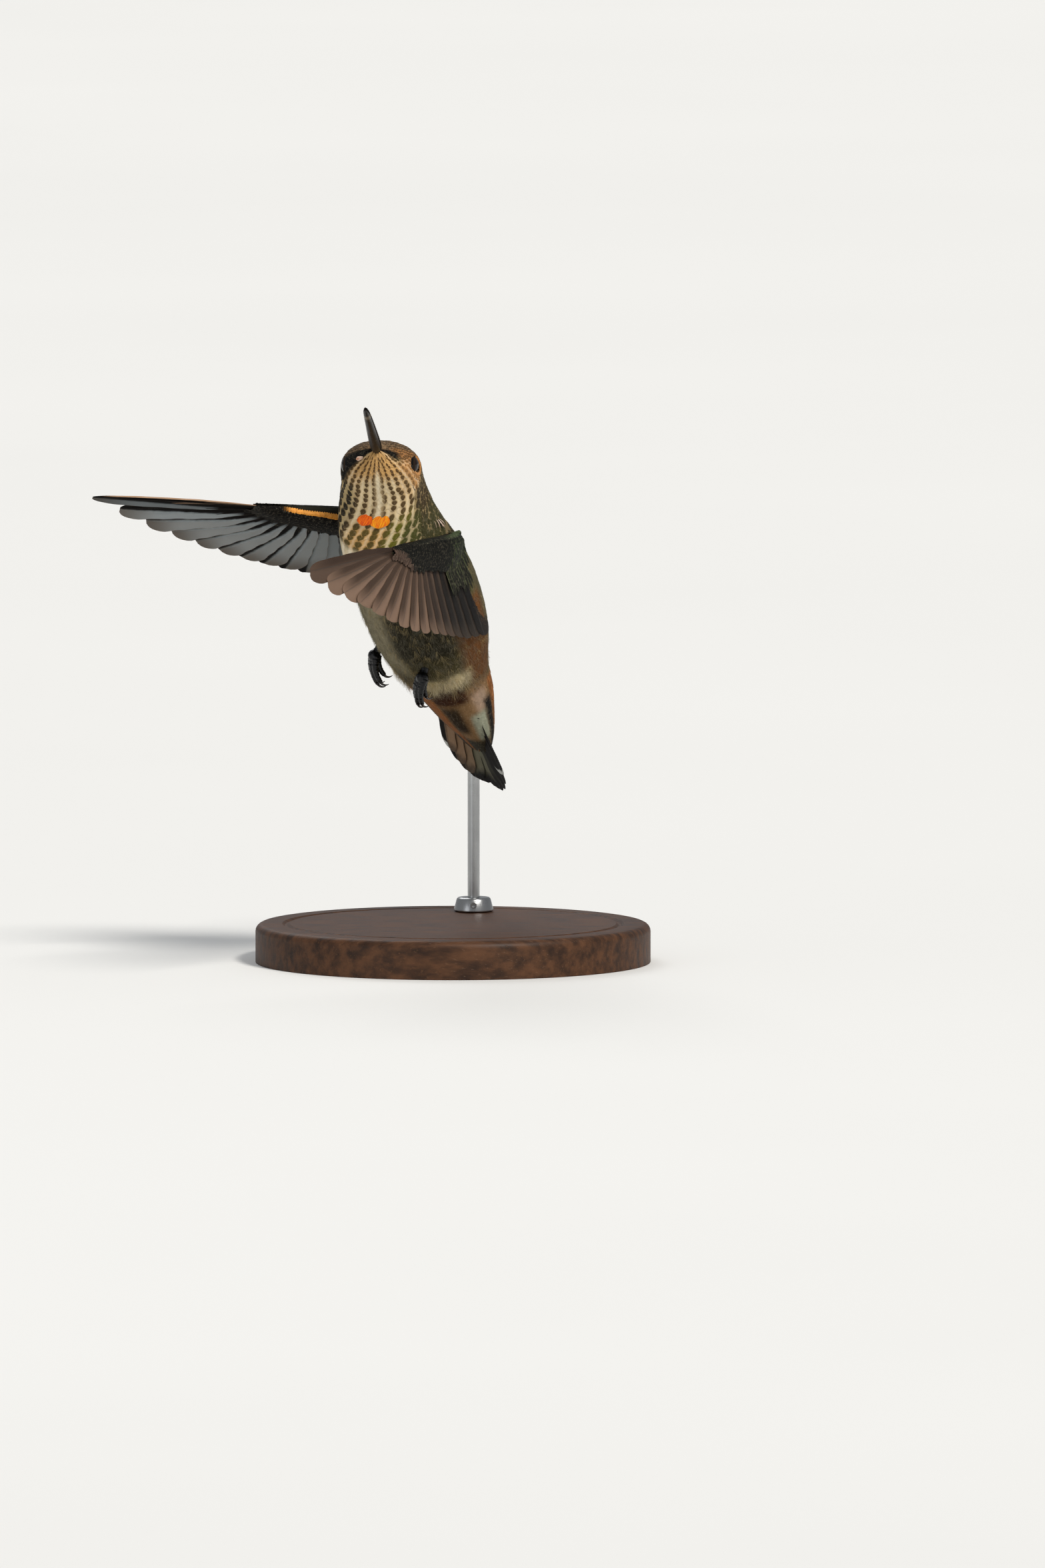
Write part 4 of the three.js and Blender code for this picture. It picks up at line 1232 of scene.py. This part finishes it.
single_feathers("gorget_feathers", [
    (26.0, -0.084, -2, 2.5, 1.34, 0.22, "cc2c02", "ff7e0a"),
    (26.0, 0.038, 2, 2.6, 1.66, 0.20, "e64a04", "ffb01c"),
], material("lit_gorget", lit_gorget))
single_feathers("pale_feathers", [
    (34.6, -0.375, -10, 1.5, 0.30, 0.36, "d0b09a", "bd8c72"),
    (18.6, 0.625, -10, 1.4, 0.11, 0.36, "b39e8e", "8b7264"),
    (18.3, 0.645, -2, 1.6, 0.12, 0.42, "cbb6a8", "a08072"),
    (18.0, 0.664, 6, 1.5, 0.10, 0.40, "a89484", "806a5c"),
    (18.8, 0.600, -20, 1.2, 0.09, 0.32, "958470", "7b6758"),
    (17.7, 0.652, 0, 1.3, 0.10, 0.42, "c0aa9c", "94786a"),
], PLUMAGE)

# Long soft feathers on the shoulder lie back over the joint of the wing, painted darker as painted shade
# between the wing and the back.
contour_coat(
    "shoulder_feathers", lattice(17.0, 12.5, 0.62, 0.76, 60, 0.8),
    columns=60, cover=3.8, ragged=0.03, proud=0.2, shade_tone=0.68,
)

# ---- Down ----------------------------------------------------------------------------------------
# On the belly, the flanks and at the vent, loose sprays of soft barbs lie over the firm feathers.
BARB_ALONG = np.array((0, 0.3, 0.62, 1.0))
BARB_SIDES = np.array(((1, 0), (0, 1), (-1, 0), (0, -1)))
BARB_THIN, BARB_CURL = 0.028, 0.45
GOLD = "b79c5c"


def lay_barbs(name, lie, long, fan, low, high, homes, colours_at, barbs):
    """Joins many sprays of barbs into one mesh; each barb is a thin closed blade."""
    count, rings = len(long), len(BARB_ALONG)
    share = np.linspace(-1, 1, barbs)[None, :, None, None]
    a = BARB_ALONG[None, None, :, None]
    reach = long[:, None, None, None] * chance.uniform(0.72, 1.1, (count, barbs, 1, 1))
    spread = (share * fan + chance.normal(0, 0.10, (count, barbs, 1, 1))) * (0.35 + 0.65 * a)
    drift = chance.normal(0, BARB_CURL, (count, barbs, 1, 1)) * a**2
    lift = chance.normal(0, 0.08, (count, barbs, 1, 1)) * a
    thin = BARB_THIN * (1.05 - 0.8 * a)
    flat_side = BARB_SIDES[None, None, None, :, 0] * thin
    thick_side = BARB_SIDES[None, None, None, :, 1] * thin * 0.45
    ahead = reach * a * np.cos(spread) + 0 * flat_side
    aside = reach * a * np.sin(spread) + drift * reach * 0.4 + flat_side
    low, high = low[:, None, None, None], high[:, None, None, None]
    rise = low + (high - low) * a**1.3 + lift + thick_side
    grids = [np.broadcast_to(g, (count, barbs, rings, 4)).reshape(count, -1) for g in (ahead, aside, rise)]
    points, *places = lie(*grids)
    ring = np.arange(rings * 4).reshape(rings, 4)
    after = np.roll(ring, -1, axis=1)
    walls = np.stack((ring[:-1], after[:-1], after[1:], ring[1:]), -1).reshape(-1, 4)
    blade = np.concatenate((walls, ring[:1, ::-1], ring[-1:]))
    local = np.stack(np.broadcast_arrays(share * 0.5 + 0.5, a, 0 * flat_side)[:2], -1).reshape(-1, 2)
    return laid(name, points, blade, local, homes, rings * 4, colours_at(*places))


def down_coat(name, spots, long, high, golden, fan=0.15, barbs=10):
    """A coat of sprays of barbs with the body's markings, of which a golden share are fairer."""
    s, c, step = spots
    s = s + chance.normal(0, 0.3, len(s)) * step
    c = c + chance.normal(0, 0.012, len(s))
    turn = chance.normal(0, 0.16, len(s))
    long = long * chance.uniform(0.75, 1.25, len(s))
    high = high * chance.uniform(0.3, 1.3, len(s))
    mix = chance.uniform(0.1, 1.0, (len(s), 1, 1))
    light = chance.normal(1, 0.12, (len(s), 1, 1))
    fair = (chance.uniform(0, 1, (len(s), 1)) < golden) * 0.42
    strays = chance.normal(0, 0.6, (len(s), 1))

    def colours_at(s, c):
        edge, middle, shape = marked(s + strays, c)
        colour = toward((edge * mix + middle * (1 - mix)) * light, GOLD, fair)
        return {"Edge": colour, "Middle": colour * 0.9, "Shape": shape * 0}

    low = np.full(len(s), -0.25)
    lie = body_lie(s, c, turn)
    made = lay_barbs(name, lie, long, fan, low, high, body_homes(s, c), colours_at, barbs)
    bpy.ops.object.shade_smooth()
    finish_piece(made, name, DOWN)


def down(start):
    """Soft barbs, a little paler to their ends."""
    place = start.uv("Vane")
    spot = start.noise(start.here(), 1500.0, 2.0)
    colour = start.mix(place.parts(1) * 0.16, start.attribute("Edge"), paint("efe6cc"))
    return {
        "Base Color": start.mix(spot.between(0.45, 0.7) * 0.25, colour, paint("2b2416")),
        "Roughness": 0.9,
        "Specular IOR Level": 0.08,
    }


DOWN = material("down", down)
down_coat("belly_down", lattice(7, -10.6, 0, 0.48, 60, 0.95), 2.4, 0.24, golden=0.25)
down_coat("flank_down", lattice(4, -12.5, 0.40, 0.68, 64, 0.85), 2.3, 0.24, golden=0.12)
down_coat(
    "vent_down", lattice(-7.6, -10.9, 0, 0.50, 56, 0.7), 2.9, 0.75,
    fan=0.26, barbs=12, golden=0.2,
)

# ---- Wings ---------------------------------------------------------------------------------------
# Ten primaries on the hand and six secondaries on the arm, each a horny shaft with a narrow web
# before it and a broad thin web behind, lying over the next like the blades of a fan.
# A wing's frame: +X from shoulder to tip, +Y out of the upper side, +Z to the leading edge.
WING_POINTS = (0.332, -0.748, 0.575)
WING_LEADS = (-0.327, 0.487, 0.807)
WING_POSE = {  # degrees of twist, lift and sweep, and the shoulder, as if on the left
    "left": (-2, 0.6, 1, (9.1, 1.8, 15.3)),
    "right": (15, -2.5, 2.5, (8.9, 0.8, 13.5)),
}
PRIMARIES, SECONDARIES = 10, 6
WING_LONG, WING_CHORD = 47.0, 13.6
HAND_STEP, HAND_EASE, HAND_SWING, ARM_STEP, ARM_DROP = 5.6, 0.11, 9.4, 2.9, 0.45
HAND_ROOTS = (16.6, 0.4), (9.4, -0.4)  # from the first to the last, along X and Z
ARM_ROOTS = (8.4, -0.8), (-1.5, -0.8)
VANE_WIDE, LEADING_SHARE, VANE_TILT, WING_BOW = 4.6, 0.34, -5.0, 0.03
QUILL_ALONG = np.concatenate((np.linspace(0.012, 0.86, 22), (0.895, 0.93, 0.958, 0.98, 0.995)))
QUILL_ACROSS = np.array((-1, -0.84, -0.62, -0.40, -0.20, -0.075, -0.03, 0.03, 0.09, 0.30, 0.58, 0.82, 1))
SHAFT = np.array((0, 0, 0, 0, 0, 0, 1, 1, 0, 0, 0, 0, 0))


def wing_to_world(side_name):
    """A way to put points of a wing's frame in the world."""
    twist, lift, sweep, shoulder = WING_POSE[side_name]
    pose = turn_matrix("y", -lift) @ turn_matrix("z", sweep) @ turn_matrix("x", twist)
    wing = frame_of(WING_LEADS, WING_POINTS) @ pose
    mirror = np.array((SIDES[side_name], 1, 1))
    return lambda points: ((points @ wing.T + shoulder) * mirror) @ BIRD.T + TRUNK_AT


def feather_tip(i):
    """The tips step back along the wing, ever less, and swing back round the hand."""
    hand, arm = min(i, PRIMARIES - 1), max(0, i - PRIMARIES + 1)
    x = WING_LONG - HAND_STEP * hand + HAND_EASE * hand**2 - ARM_STEP * arm
    swung = WING_CHORD * math.sin(math.radians(HAND_SWING * hand))
    return np.array((x, 0, -0.4 - swung - ARM_DROP * min(arm, 4)))


def feather_root(i):
    if i < PRIMARIES:
        (x, z), (to_x, to_z), share = *HAND_ROOTS, i / (PRIMARIES - 1)
    else:
        (x, z), (to_x, to_z), share = *ARM_ROOTS, (i - PRIMARIES) / (SECONDARIES - 1)
    return np.array((x + (to_x - x) * share, 0, z + (to_z - z) * share))


def feather_heading(i):
    run = feather_tip(i) - feather_root(i)
    return math.atan2(-run[2], run[0])


def vane_width(along, tip_round):
    """The width along a feather's web, opening from its root and rounded off past tip_round."""
    opening = np.minimum(1, along / 0.4) ** 0.6
    past = np.clip((along - tip_round) / (1 - tip_round), 0, 1)
    return opening * (1 - past**2.6) ** 0.45


def quill_feather(long, lead, trail, bow, cup, tip_round, thick, shaft, slant=0.0):
    """Points of a flight feather along +X, upper side first, and what the colours need of each."""
    along = np.broadcast_to(QUILL_ALONG[:, None], (len(QUILL_ALONG), len(QUILL_ACROSS)))
    across = np.broadcast_to(QUILL_ACROSS[None], along.shape)
    full = vane_width(along, tip_round)
    edge = full * (1 + 0.025 * np.sin(along * 37 + across * 5) * (np.abs(across) > 0.7))
    wide = np.where(across > 0, lead, trail)
    z = across * edge * wide
    curve = bow * along**2 - cup * across**2 * full
    ridge = SHAFT[None] * (1.02 - along) * shaft
    upper = curve + thick / 2 * full + ridge * 0.4
    lower = curve - thick / 2 * full - ridge
    rim = (np.abs(across) == 1) | (along == QUILL_ALONG[0]) | (along == QUILL_ALONG[-1])
    upper = np.where(rim, curve, upper)
    x = along * long + slant * z * smoothly(0.6, 1.0, along)
    top = np.stack((x, upper, z), -1).reshape(-1, 3)
    low = np.stack((x, lower, z), -1)[1:-1, 1:-1].reshape(-1, 3)
    is_under = np.concatenate((np.zeros(along.size), np.ones(len(low))))
    place = np.column_stack((both_sides(across) * 0.5 + 0.5, both_sides(along), is_under))
    flat = np.column_stack((both_sides(z), both_sides(x)))
    return np.concatenate((top, low)), place, flat


def quill_mesh(name, feathers):
    """Joins feathers, each given as (points, place, flat, tint, mirrored), with a map for each."""
    count = len(feathers)
    one, per = vane_faces(len(QUILL_ACROSS), len(QUILL_ALONG))
    points, place, flat, tint, mirrored = zip(*feathers)
    faces = [per * i + (one[:, ::-1] if turned else one) for i, turned in enumerate(mirrored)]
    points, place, flat, faces = (np.concatenate(rows) for rows in (points, place, flat, faces))
    tint = np.repeat(tint, per, axis=0)
    slots = np.repeat(np.arange(count), per)
    bake = np.column_stack((
        (slots + 0.06 + 0.40 * place[:, 0] + 0.46 * place[:, 2]) / count,
        0.01 + 0.98 * place[:, 1],
    ))
    maps = {"Vane": flat / 50 + 0.5, "OFBake": bake}
    made = joined_mesh(name, points, faces, {"Place": place, "Tint": tint}, maps)
    bpy.ops.object.shade_smooth_by_angle(angle=math.radians(60))
    return made


# By side: how far the webs reach under the next feather, how wide the two outermost feathers are, and
# where the first one's tip begins to round.
WING_CLOSED = {"left": 1.0, "right": 0.25}
WING_SLENDER = {"left": (0.8, 0.95), "right": (0.5, 0.8)}
WING_POINTED = {"left": 0.82, "right": 0.62}


def flight_feathers(side_name, first, last):
    to_world = wing_to_world(side_name)
    made = []
    for i in range(first, last):
        root = feather_root(i)
        run = feather_tip(i) - root
        long = np.linalg.norm(run)
        slender = WING_SLENDER[side_name][i] if i < 2 else 1
        # How the next tip lies, ahead and aside, gives the trailing web's width and the end's slant.
        near = min(i, PRIMARIES + SECONDARIES - 2)
        step = feather_tip(near + 1) - feather_tip(near)
        ahead = step @ run / long
        aside = math.sqrt(step @ step - ahead**2)
        closed = smoothly(0, 3, i) * WING_CLOSED[side_name]
        trail = VANE_WIDE * (1 - LEADING_SHARE) * slender
        trail += max(aside - trail, 0) * closed
        points, place, flat = quill_feather(
            long, VANE_WIDE * LEADING_SHARE * slender, trail, -long * WING_BOW, 0.12,
            WING_POINTED[side_name if i == 0 else "left"], 0.09, 0.22, min(-ahead / aside, 1.0) * closed,
        )
        heading = turn_matrix("y", math.degrees(feather_heading(i)))
        points = points @ (heading @ turn_matrix("x", VANE_TILT)).T + root
        tint = (i / (PRIMARIES + SECONDARIES), chance.uniform(), int(side_name == "right"))
        made.append((to_world(points), place, flat, tint, side_name == "right"))
    return quill_mesh(f"{side_name}_flight_feathers_{first}", made)


def quill_marks(start):
    """Where a point of a quill's web lies: along it, beside the shaft (-1 to 1), on its under side,
    on the shaft and on a barb; and a mottle."""
    place = start.attribute("Place", "Vector")
    mottle = start.noise(start.here(), 900.0, 4.0)
    side = (place.parts(0) - 0.5) * 2 + (mottle - 0.5) * 0.12
    flat = start.uv("Vane")
    slant = flat.parts(1) * 3600 - abs(flat.parts(0) - 0.5) * 2900
    barbs = start.sum("SINE", slant + mottle * 4)
    shaft = abs(side).between(0.075, 0.04)
    return place.parts(1), side, place.parts(2).between(0.0, 0.15), shaft, barbs, mottle


def quill_surface(start, colour, shaft, barbs, mottle):
    return {
        "Base Color": colour,
        "Roughness": 0.60 - shaft * 0.25,
        "Specular IOR Level": 0.08,
        "Normal": start.bumped(barbs * 0.5 + mottle, 0.00002),
    }


def flight_vane(start):
    """A dusky web that lets some light through: rosy brown on top, partly a painted sheen, and pale
    blue-grey below, partly painted sky light, with painted shade where the webs overlap.
    """
    along, side, under, shaft, barbs, mottle = quill_marks(start)
    tint = start.attribute("Tint", "Vector")
    outermost = tint.parts(0).between(0.08, 0.02)
    inner = tint.parts(0).between(0.42, 0.80)
    # Above: rosy brown webs, partly a painted sheen, each dark along its leading half, partly its own dusk
    # and partly painted shadow where the feathers overlap; the inner feathers are duskier.
    dark_web_and_gap_shade = side.between(-0.42, 0.42) * along.between(1.06, 0.74) * 0.9 + along.between(0.30, 0.10) * 0.8
    light = start.mix(inner, paint("8b715f"), paint("40372f"))
    light = start.mix(tint.parts(0).between(0.85, 0.92), light, paint("26211e"))
    dusk = start.mix(inner, paint("3c2e25"), paint("131212"))
    upper = start.mix(dark_web_and_gap_shade, light, dusk)
    upper = start.mix(outermost * 0.7, upper, paint("3a2c24"))
    # Below: pale blue-grey trailing webs, their pale blue partly painted sky light through the single web;
    # dusky leading ones, partly their own colour and partly painted shade where the webs overlap; and black
    # near the coverts, painted shade under them.
    sky_lit_web = (along * 0.75 - side - 0.88 + inner * 0.3).between(-0.14, 0.14)
    lower_sky_light = start.mix(along.between(0.70, 1.0), paint("e9f4f8"), paint("b5b0a8"))
    lower = start.mix(sky_lit_web, paint("0c0908"), lower_sky_light)
    lower = start.mix(along.between(0.34, 0.14) + outermost * 0.8, lower, paint("110e0c"))
    colour = start.mix(under, upper, lower)
    rim = outermost * tint.parts(2) * side.between(0.42, 0.60) * along.between(0.96, 0.85)
    colour = start.mix(rim, colour, paint("e6bd9c"))
    colour = start.mix(barbs.between(0.2, 1.0) * 0.10, colour, paint("100c0a"))
    colour = start.mix(shaft * (under * 0.5 + 0.35), colour, paint("15100d"))
    surface = quill_surface(start, colour, shaft, barbs, mottle)
    solid = start.node("ShaderNodeBsdfPrincipled", None, surface)
    through = start.node("ShaderNodeBsdfTranslucent", None, {"Color": colour, "Normal": surface["Normal"]})
    share = sky_lit_web * along.between(0.12, 0.34) * (1 - outermost) * under * 0.70 + 0.04
    return start.node("ShaderNodeMixShader", None, {0: share, 1: solid, 2: through}, "Shader")


FLIGHT_VANE = material("flight_vane", flight_vane)
ROWS = {"primaries": (0, PRIMARIES), "secondaries": (PRIMARIES, PRIMARIES + SECONDARIES)}
for side_name in SIDES:
    for kind, (first, last) in ROWS.items():
        made = flight_feathers(side_name, first, last)
        finish_piece(made, f"{side_name}_{kind}", FLIGHT_VANE, [f"wing_{side_name}_{kind}"])

# The small feathers that cover the arm and the roots of the flight feathers lie in rows from the leading
# edge back, scaled black-green above and sooty below, partly as painted shade under the wing, with a buff
# line at the edge.
ARM_RINGS = [
    (-4, 1.6, 4.2, 1.5), (2, 1.2, 4.6, 1.8), (9, 1.3, 3.7, 1.3), (14, 1.1, 2.7, 0.9), (20, 0.8, 1.1, 0.6),
]
ARM_FROM, ARM_TO = -4.4, 21.0
COVERTS_FROM, COVERTS_TO, COVERTS_APART = -3.9, 19.0, 1.15  # the last in half widths
heading_at = np.array([
    (feather_root(i)[0], feather_heading(i)) for i in reversed(range(PRIMARIES + SECONDARIES))
])


def arm_height(x, z):
    """How thick the arm's half is at a place on the wing."""
    lead, trail, thick = np.moveaxis(sizes_along(ARM_RINGS, x), -1, 0)
    share = np.clip((x - ARM_FROM) / (ARM_TO - ARM_FROM), 0, 1)
    close = np.sqrt(np.clip(1 - np.abs(2 * share - 1) ** 6, 0.02, 1))
    q = np.clip(z / (np.where(z > 0, lead, trail) * close), -1, 1)
    high = thick * close * np.sqrt(1 - q**2) * np.where(z > 0, 1, 1 - 0.5 * q**2)
    return np.hypot(high, 0.12)


def covert_rows(side_name, upper, rows, colour_at, kind="coverts", ends=COVERTS_TO):
    """Rows of coverts. A row: how far back from the leading edge, feather length, half width, rise."""
    roots = []
    for k, (back, long, half, rise) in enumerate(rows):
        for x in np.arange(COVERTS_FROM + 0.5 * half * (k % 2), ends, half * COVERTS_APART):
            lead, trail, _ = sizes_along(ARM_RINGS, x)
            z = lead * 0.96 - (lead + trail) * back * 0.98
            roots.append((x, z, long, half, rise, back))
    x0, z0, long, half, rise, back = np.array(roots).T
    shrink = 1 - 0.45 * smoothly(10, 19, x0)
    long, half = long * chance.uniform(0.9, 1.1, len(x0)) * (1 - 0.25 * smoothly(12, 19, x0)), half * shrink
    heading = np.interp(x0, heading_at[:, 0], heading_at[:, 1]) + chance.normal(0, 0.06, len(x0))
    sign = 1 if upper else -1
    to_world = wing_to_world(side_name)
    flip = (side_name == "right") != (not upper)

    def lie(ahead, aside, above):
        aside = -aside if flip else aside
        cos, sin = np.cos(heading)[:, None], np.sin(heading)[:, None]
        x = x0[:, None] + ahead * cos - aside * sin
        z = z0[:, None] - ahead * sin - aside * cos
        y = sign * (arm_height(x, z) + above)
        return to_world(np.stack((x, y, z), -1)), x, z

    light = chance.normal(1, 0.08, (len(x0), 1, 1))

    def colours_at(x, z):
        edge, middle, sizes = colour_at(x0[:, None] + 0 * x, back[:, None] + 0 * x)
        return {"Edge": edge * light, "Middle": middle * light, "Shape": edge * 0 + sizes}

    homes = np.column_stack((0.02 + 0.96 * (x0 + 6) / 27, 0.02 + 0.46 * back + (0 if upper else 0.5)))
    name = f"{side_name}_{'upper' if upper else 'under'}_{kind}"
    low = np.full(len(x0), -0.12)
    made = lay_vanes(name, lie, long, half, low, rise, 0.05, homes, colours_at, ragged=0.02, arch=0.2)
    finish_piece(made, name, PLUMAGE)


def upper_colours(x, back):
    """Black-green, greener by the body and brown on the hand."""
    inner = 1 - smoothly(-1, 5, x)
    outer = smoothly(-1.0, 1.0, x - (21.0 - 13 * back))
    edge = toward(toward(rgb("141510"), "38432a", inner), "5f4c41", outer)
    middle = toward(toward(rgb("060705"), "0c120a", inner), "4a3a31", outer)
    return edge, middle, (0.82, 0.30, 0.12)


def under_colours(x, back):
    """Sooty, partly painted shade under the wing, with a buff line behind the leading edge."""
    buff = (1 - smoothly(0.03, 0.06, back)) * smoothly(3.0, 4.0, x) * (1 - smoothly(13, 15, x))
    pale = smoothly(-2.0, 2.0, x - (19.5 - 9 * back)) * smoothly(0.03, 0.06, back)
    edge = toward(toward(rgb("100e0c"), "e09a48", buff), "2b2a28", pale)
    middle = toward(toward(rgb("060504"), "d18a38", buff), "171614", pale)
    return edge, middle, (0.75, 0.30, 0.1)


def scapular_colours(x, back):
    share = smoothly(0.0, 0.8, back)
    return toward(rgb("404b2c"), "4c5038", share), toward(rgb("0e130b"), "14140e", share), (0.74, 0.60, 0.15)


UPPER_ROWS = [
    (0.02, 1.1, 0.42, 0.08), (0.10, 1.2, 0.44, 0.09), (0.18, 1.3, 0.46, 0.10), (0.27, 1.4, 0.50, 0.11),
    (0.36, 1.5, 0.54, 0.12), (0.46, 1.6, 0.58, 0.13), (0.56, 1.8, 0.64, 0.14), (0.67, 2.1, 0.78, 0.16),
]
UNDER_ROWS = [
    (0.02, 0.5, 0.34, 0.05), (0.07, 1.2, 0.44, 0.07), (0.19, 1.4, 0.52, 0.08), (0.29, 1.6, 0.60, 0.09),
    (0.40, 1.9, 0.68, 0.10), (0.54, 2.3, 0.76, 0.12), (0.70, 2.8, 0.86, 0.14),
]
SCAPULAR_ROWS = [
    (0.04, 3.2, 0.34, 0.14), (0.22, 3.6, 0.36, 0.20), (0.42, 4.2, 0.40, 0.26), (0.62, 5.0, 0.42, 0.30),
    (0.80, 5.8, 0.44, 0.34),
]
for side_name in SIDES:
    covert_rows(side_name, True, UPPER_ROWS, upper_colours)
    covert_rows(side_name, False, UNDER_ROWS, under_colours)
    covert_rows(side_name, True, SCAPULAR_ROWS, scapular_colours, "scapulars", 2.2)

# ---- Tail ----------------------------------------------------------------------------------------
# Five pairs of tail feathers, shut one over the other with the middle pair uppermost. The outer ones
# are rufous at the root and dusky beyond, with a black outer web and end; the outermost have white tips.
TAIL_FROM, TAIL_PAIRS, TAIL_LONG, TAIL_WIDE = -15.0, 5, 23.6, 4.6
TAIL_NARROWS, TAIL_SHORTENS, TAIL_STACK = 0.09, 0.35, 0.3  # from one pair to the next
TAIL_SLANT = {1: 0.05, -1: 0.16}
TAIL_ASIDE, TAIL_SPREAD = 0.9, 0.45
TAIL_ROLL, TAIL_FAN, TAIL_PITCH = 7, 2.5, 2.2  # degrees


def tail_feather(side, pair):
    wide = TAIL_WIDE * (1 - TAIL_NARROWS * pair)
    long = TAIL_LONG - TAIL_SHORTENS * pair**2
    slant = -pair * TAIL_SLANT[side]
    points, place, flat = quill_feather(long, wide * 0.4, wide * 0.6, 0.0, 0.12, 0.80, 0.10, 0.20, slant)
    points = points @ turn_matrix("x", TAIL_ROLL).T * (1, 1, side)
    points = points @ turn_matrix("y", -side * TAIL_FAN * (pair + 0.5)).T
    points = points + (0, -TAIL_STACK * pair, side * (TAIL_ASIDE + TAIL_SPREAD * pair))
    points = points[:, (2, 1, 0)] * (1, 1, -1)
    points = points @ turn_matrix("y", TAIL_PITCH).T + (0, 0.3, TAIL_FROM)
    tint = (pair / TAIL_PAIRS, chance.uniform(), int(side < 0))
    return points @ BIRD.T + TRUNK_AT, place, flat, tint, side < 0


def tail_vane(start):
    along, side, under, shaft, barbs, mottle = quill_marks(start)
    tint = start.attribute("Tint", "Vector")
    far, right = tint.parts(0), tint.parts(2)
    outer = far.between(0.25, 0.45)
    outermost = far.between(0.65, 0.75)
    band = along + (mottle - 0.5) * 0.08 + abs(side) * 0.04
    # Underneath: grey in the middle, tan to the bird's right and black to its left.
    leading = side.between(0.05, 0.30)
    outer_web = start.mix(right, paint("120f0d"), paint("907358"))
    inner_web = start.mix(far.between(0.15, 0.5), paint("74725e"), outer_web)
    dusky = start.mix(leading * (1 - far.between(0.5, 0.3) * 0.6), inner_web, paint("16100c"))
    bronze = start.mix(leading, paint("3d4a2a"), paint("23291a"))
    bronze = start.mix(band.between(0.60, 0.78), bronze, paint("12100e"))
    rufous = outer * band.between(0.50, 0.36)
    base = start.mix(rufous, start.mix(under, bronze, dusky), paint("96592a"))
    sooty = band.between(0.86, 0.97) * (1 - right * outer * 0.4)
    colour = start.mix(sooty, base, paint("14110f"))
    white = outermost * band.between(0.945, 0.965) * (1 - right * side.between(0.5, -0.2))
    colour = start.mix(white, colour, paint("d4d6d0"))
    colour = start.mix(barbs.between(0.2, 1.0) * 0.12, colour, paint("0c0a08"))
    colour = start.mix(shaft * 0.6, colour, paint("14100c"))
    return quill_surface(start, colour, shaft, barbs, mottle)


tail = quill_mesh("tail", [tail_feather(side, pair) for pair in range(TAIL_PAIRS) for side in (1, -1)])
finish_piece(tail, "tail_vanes", material("tail_vane", tail_vane), ["tail_feathers"])
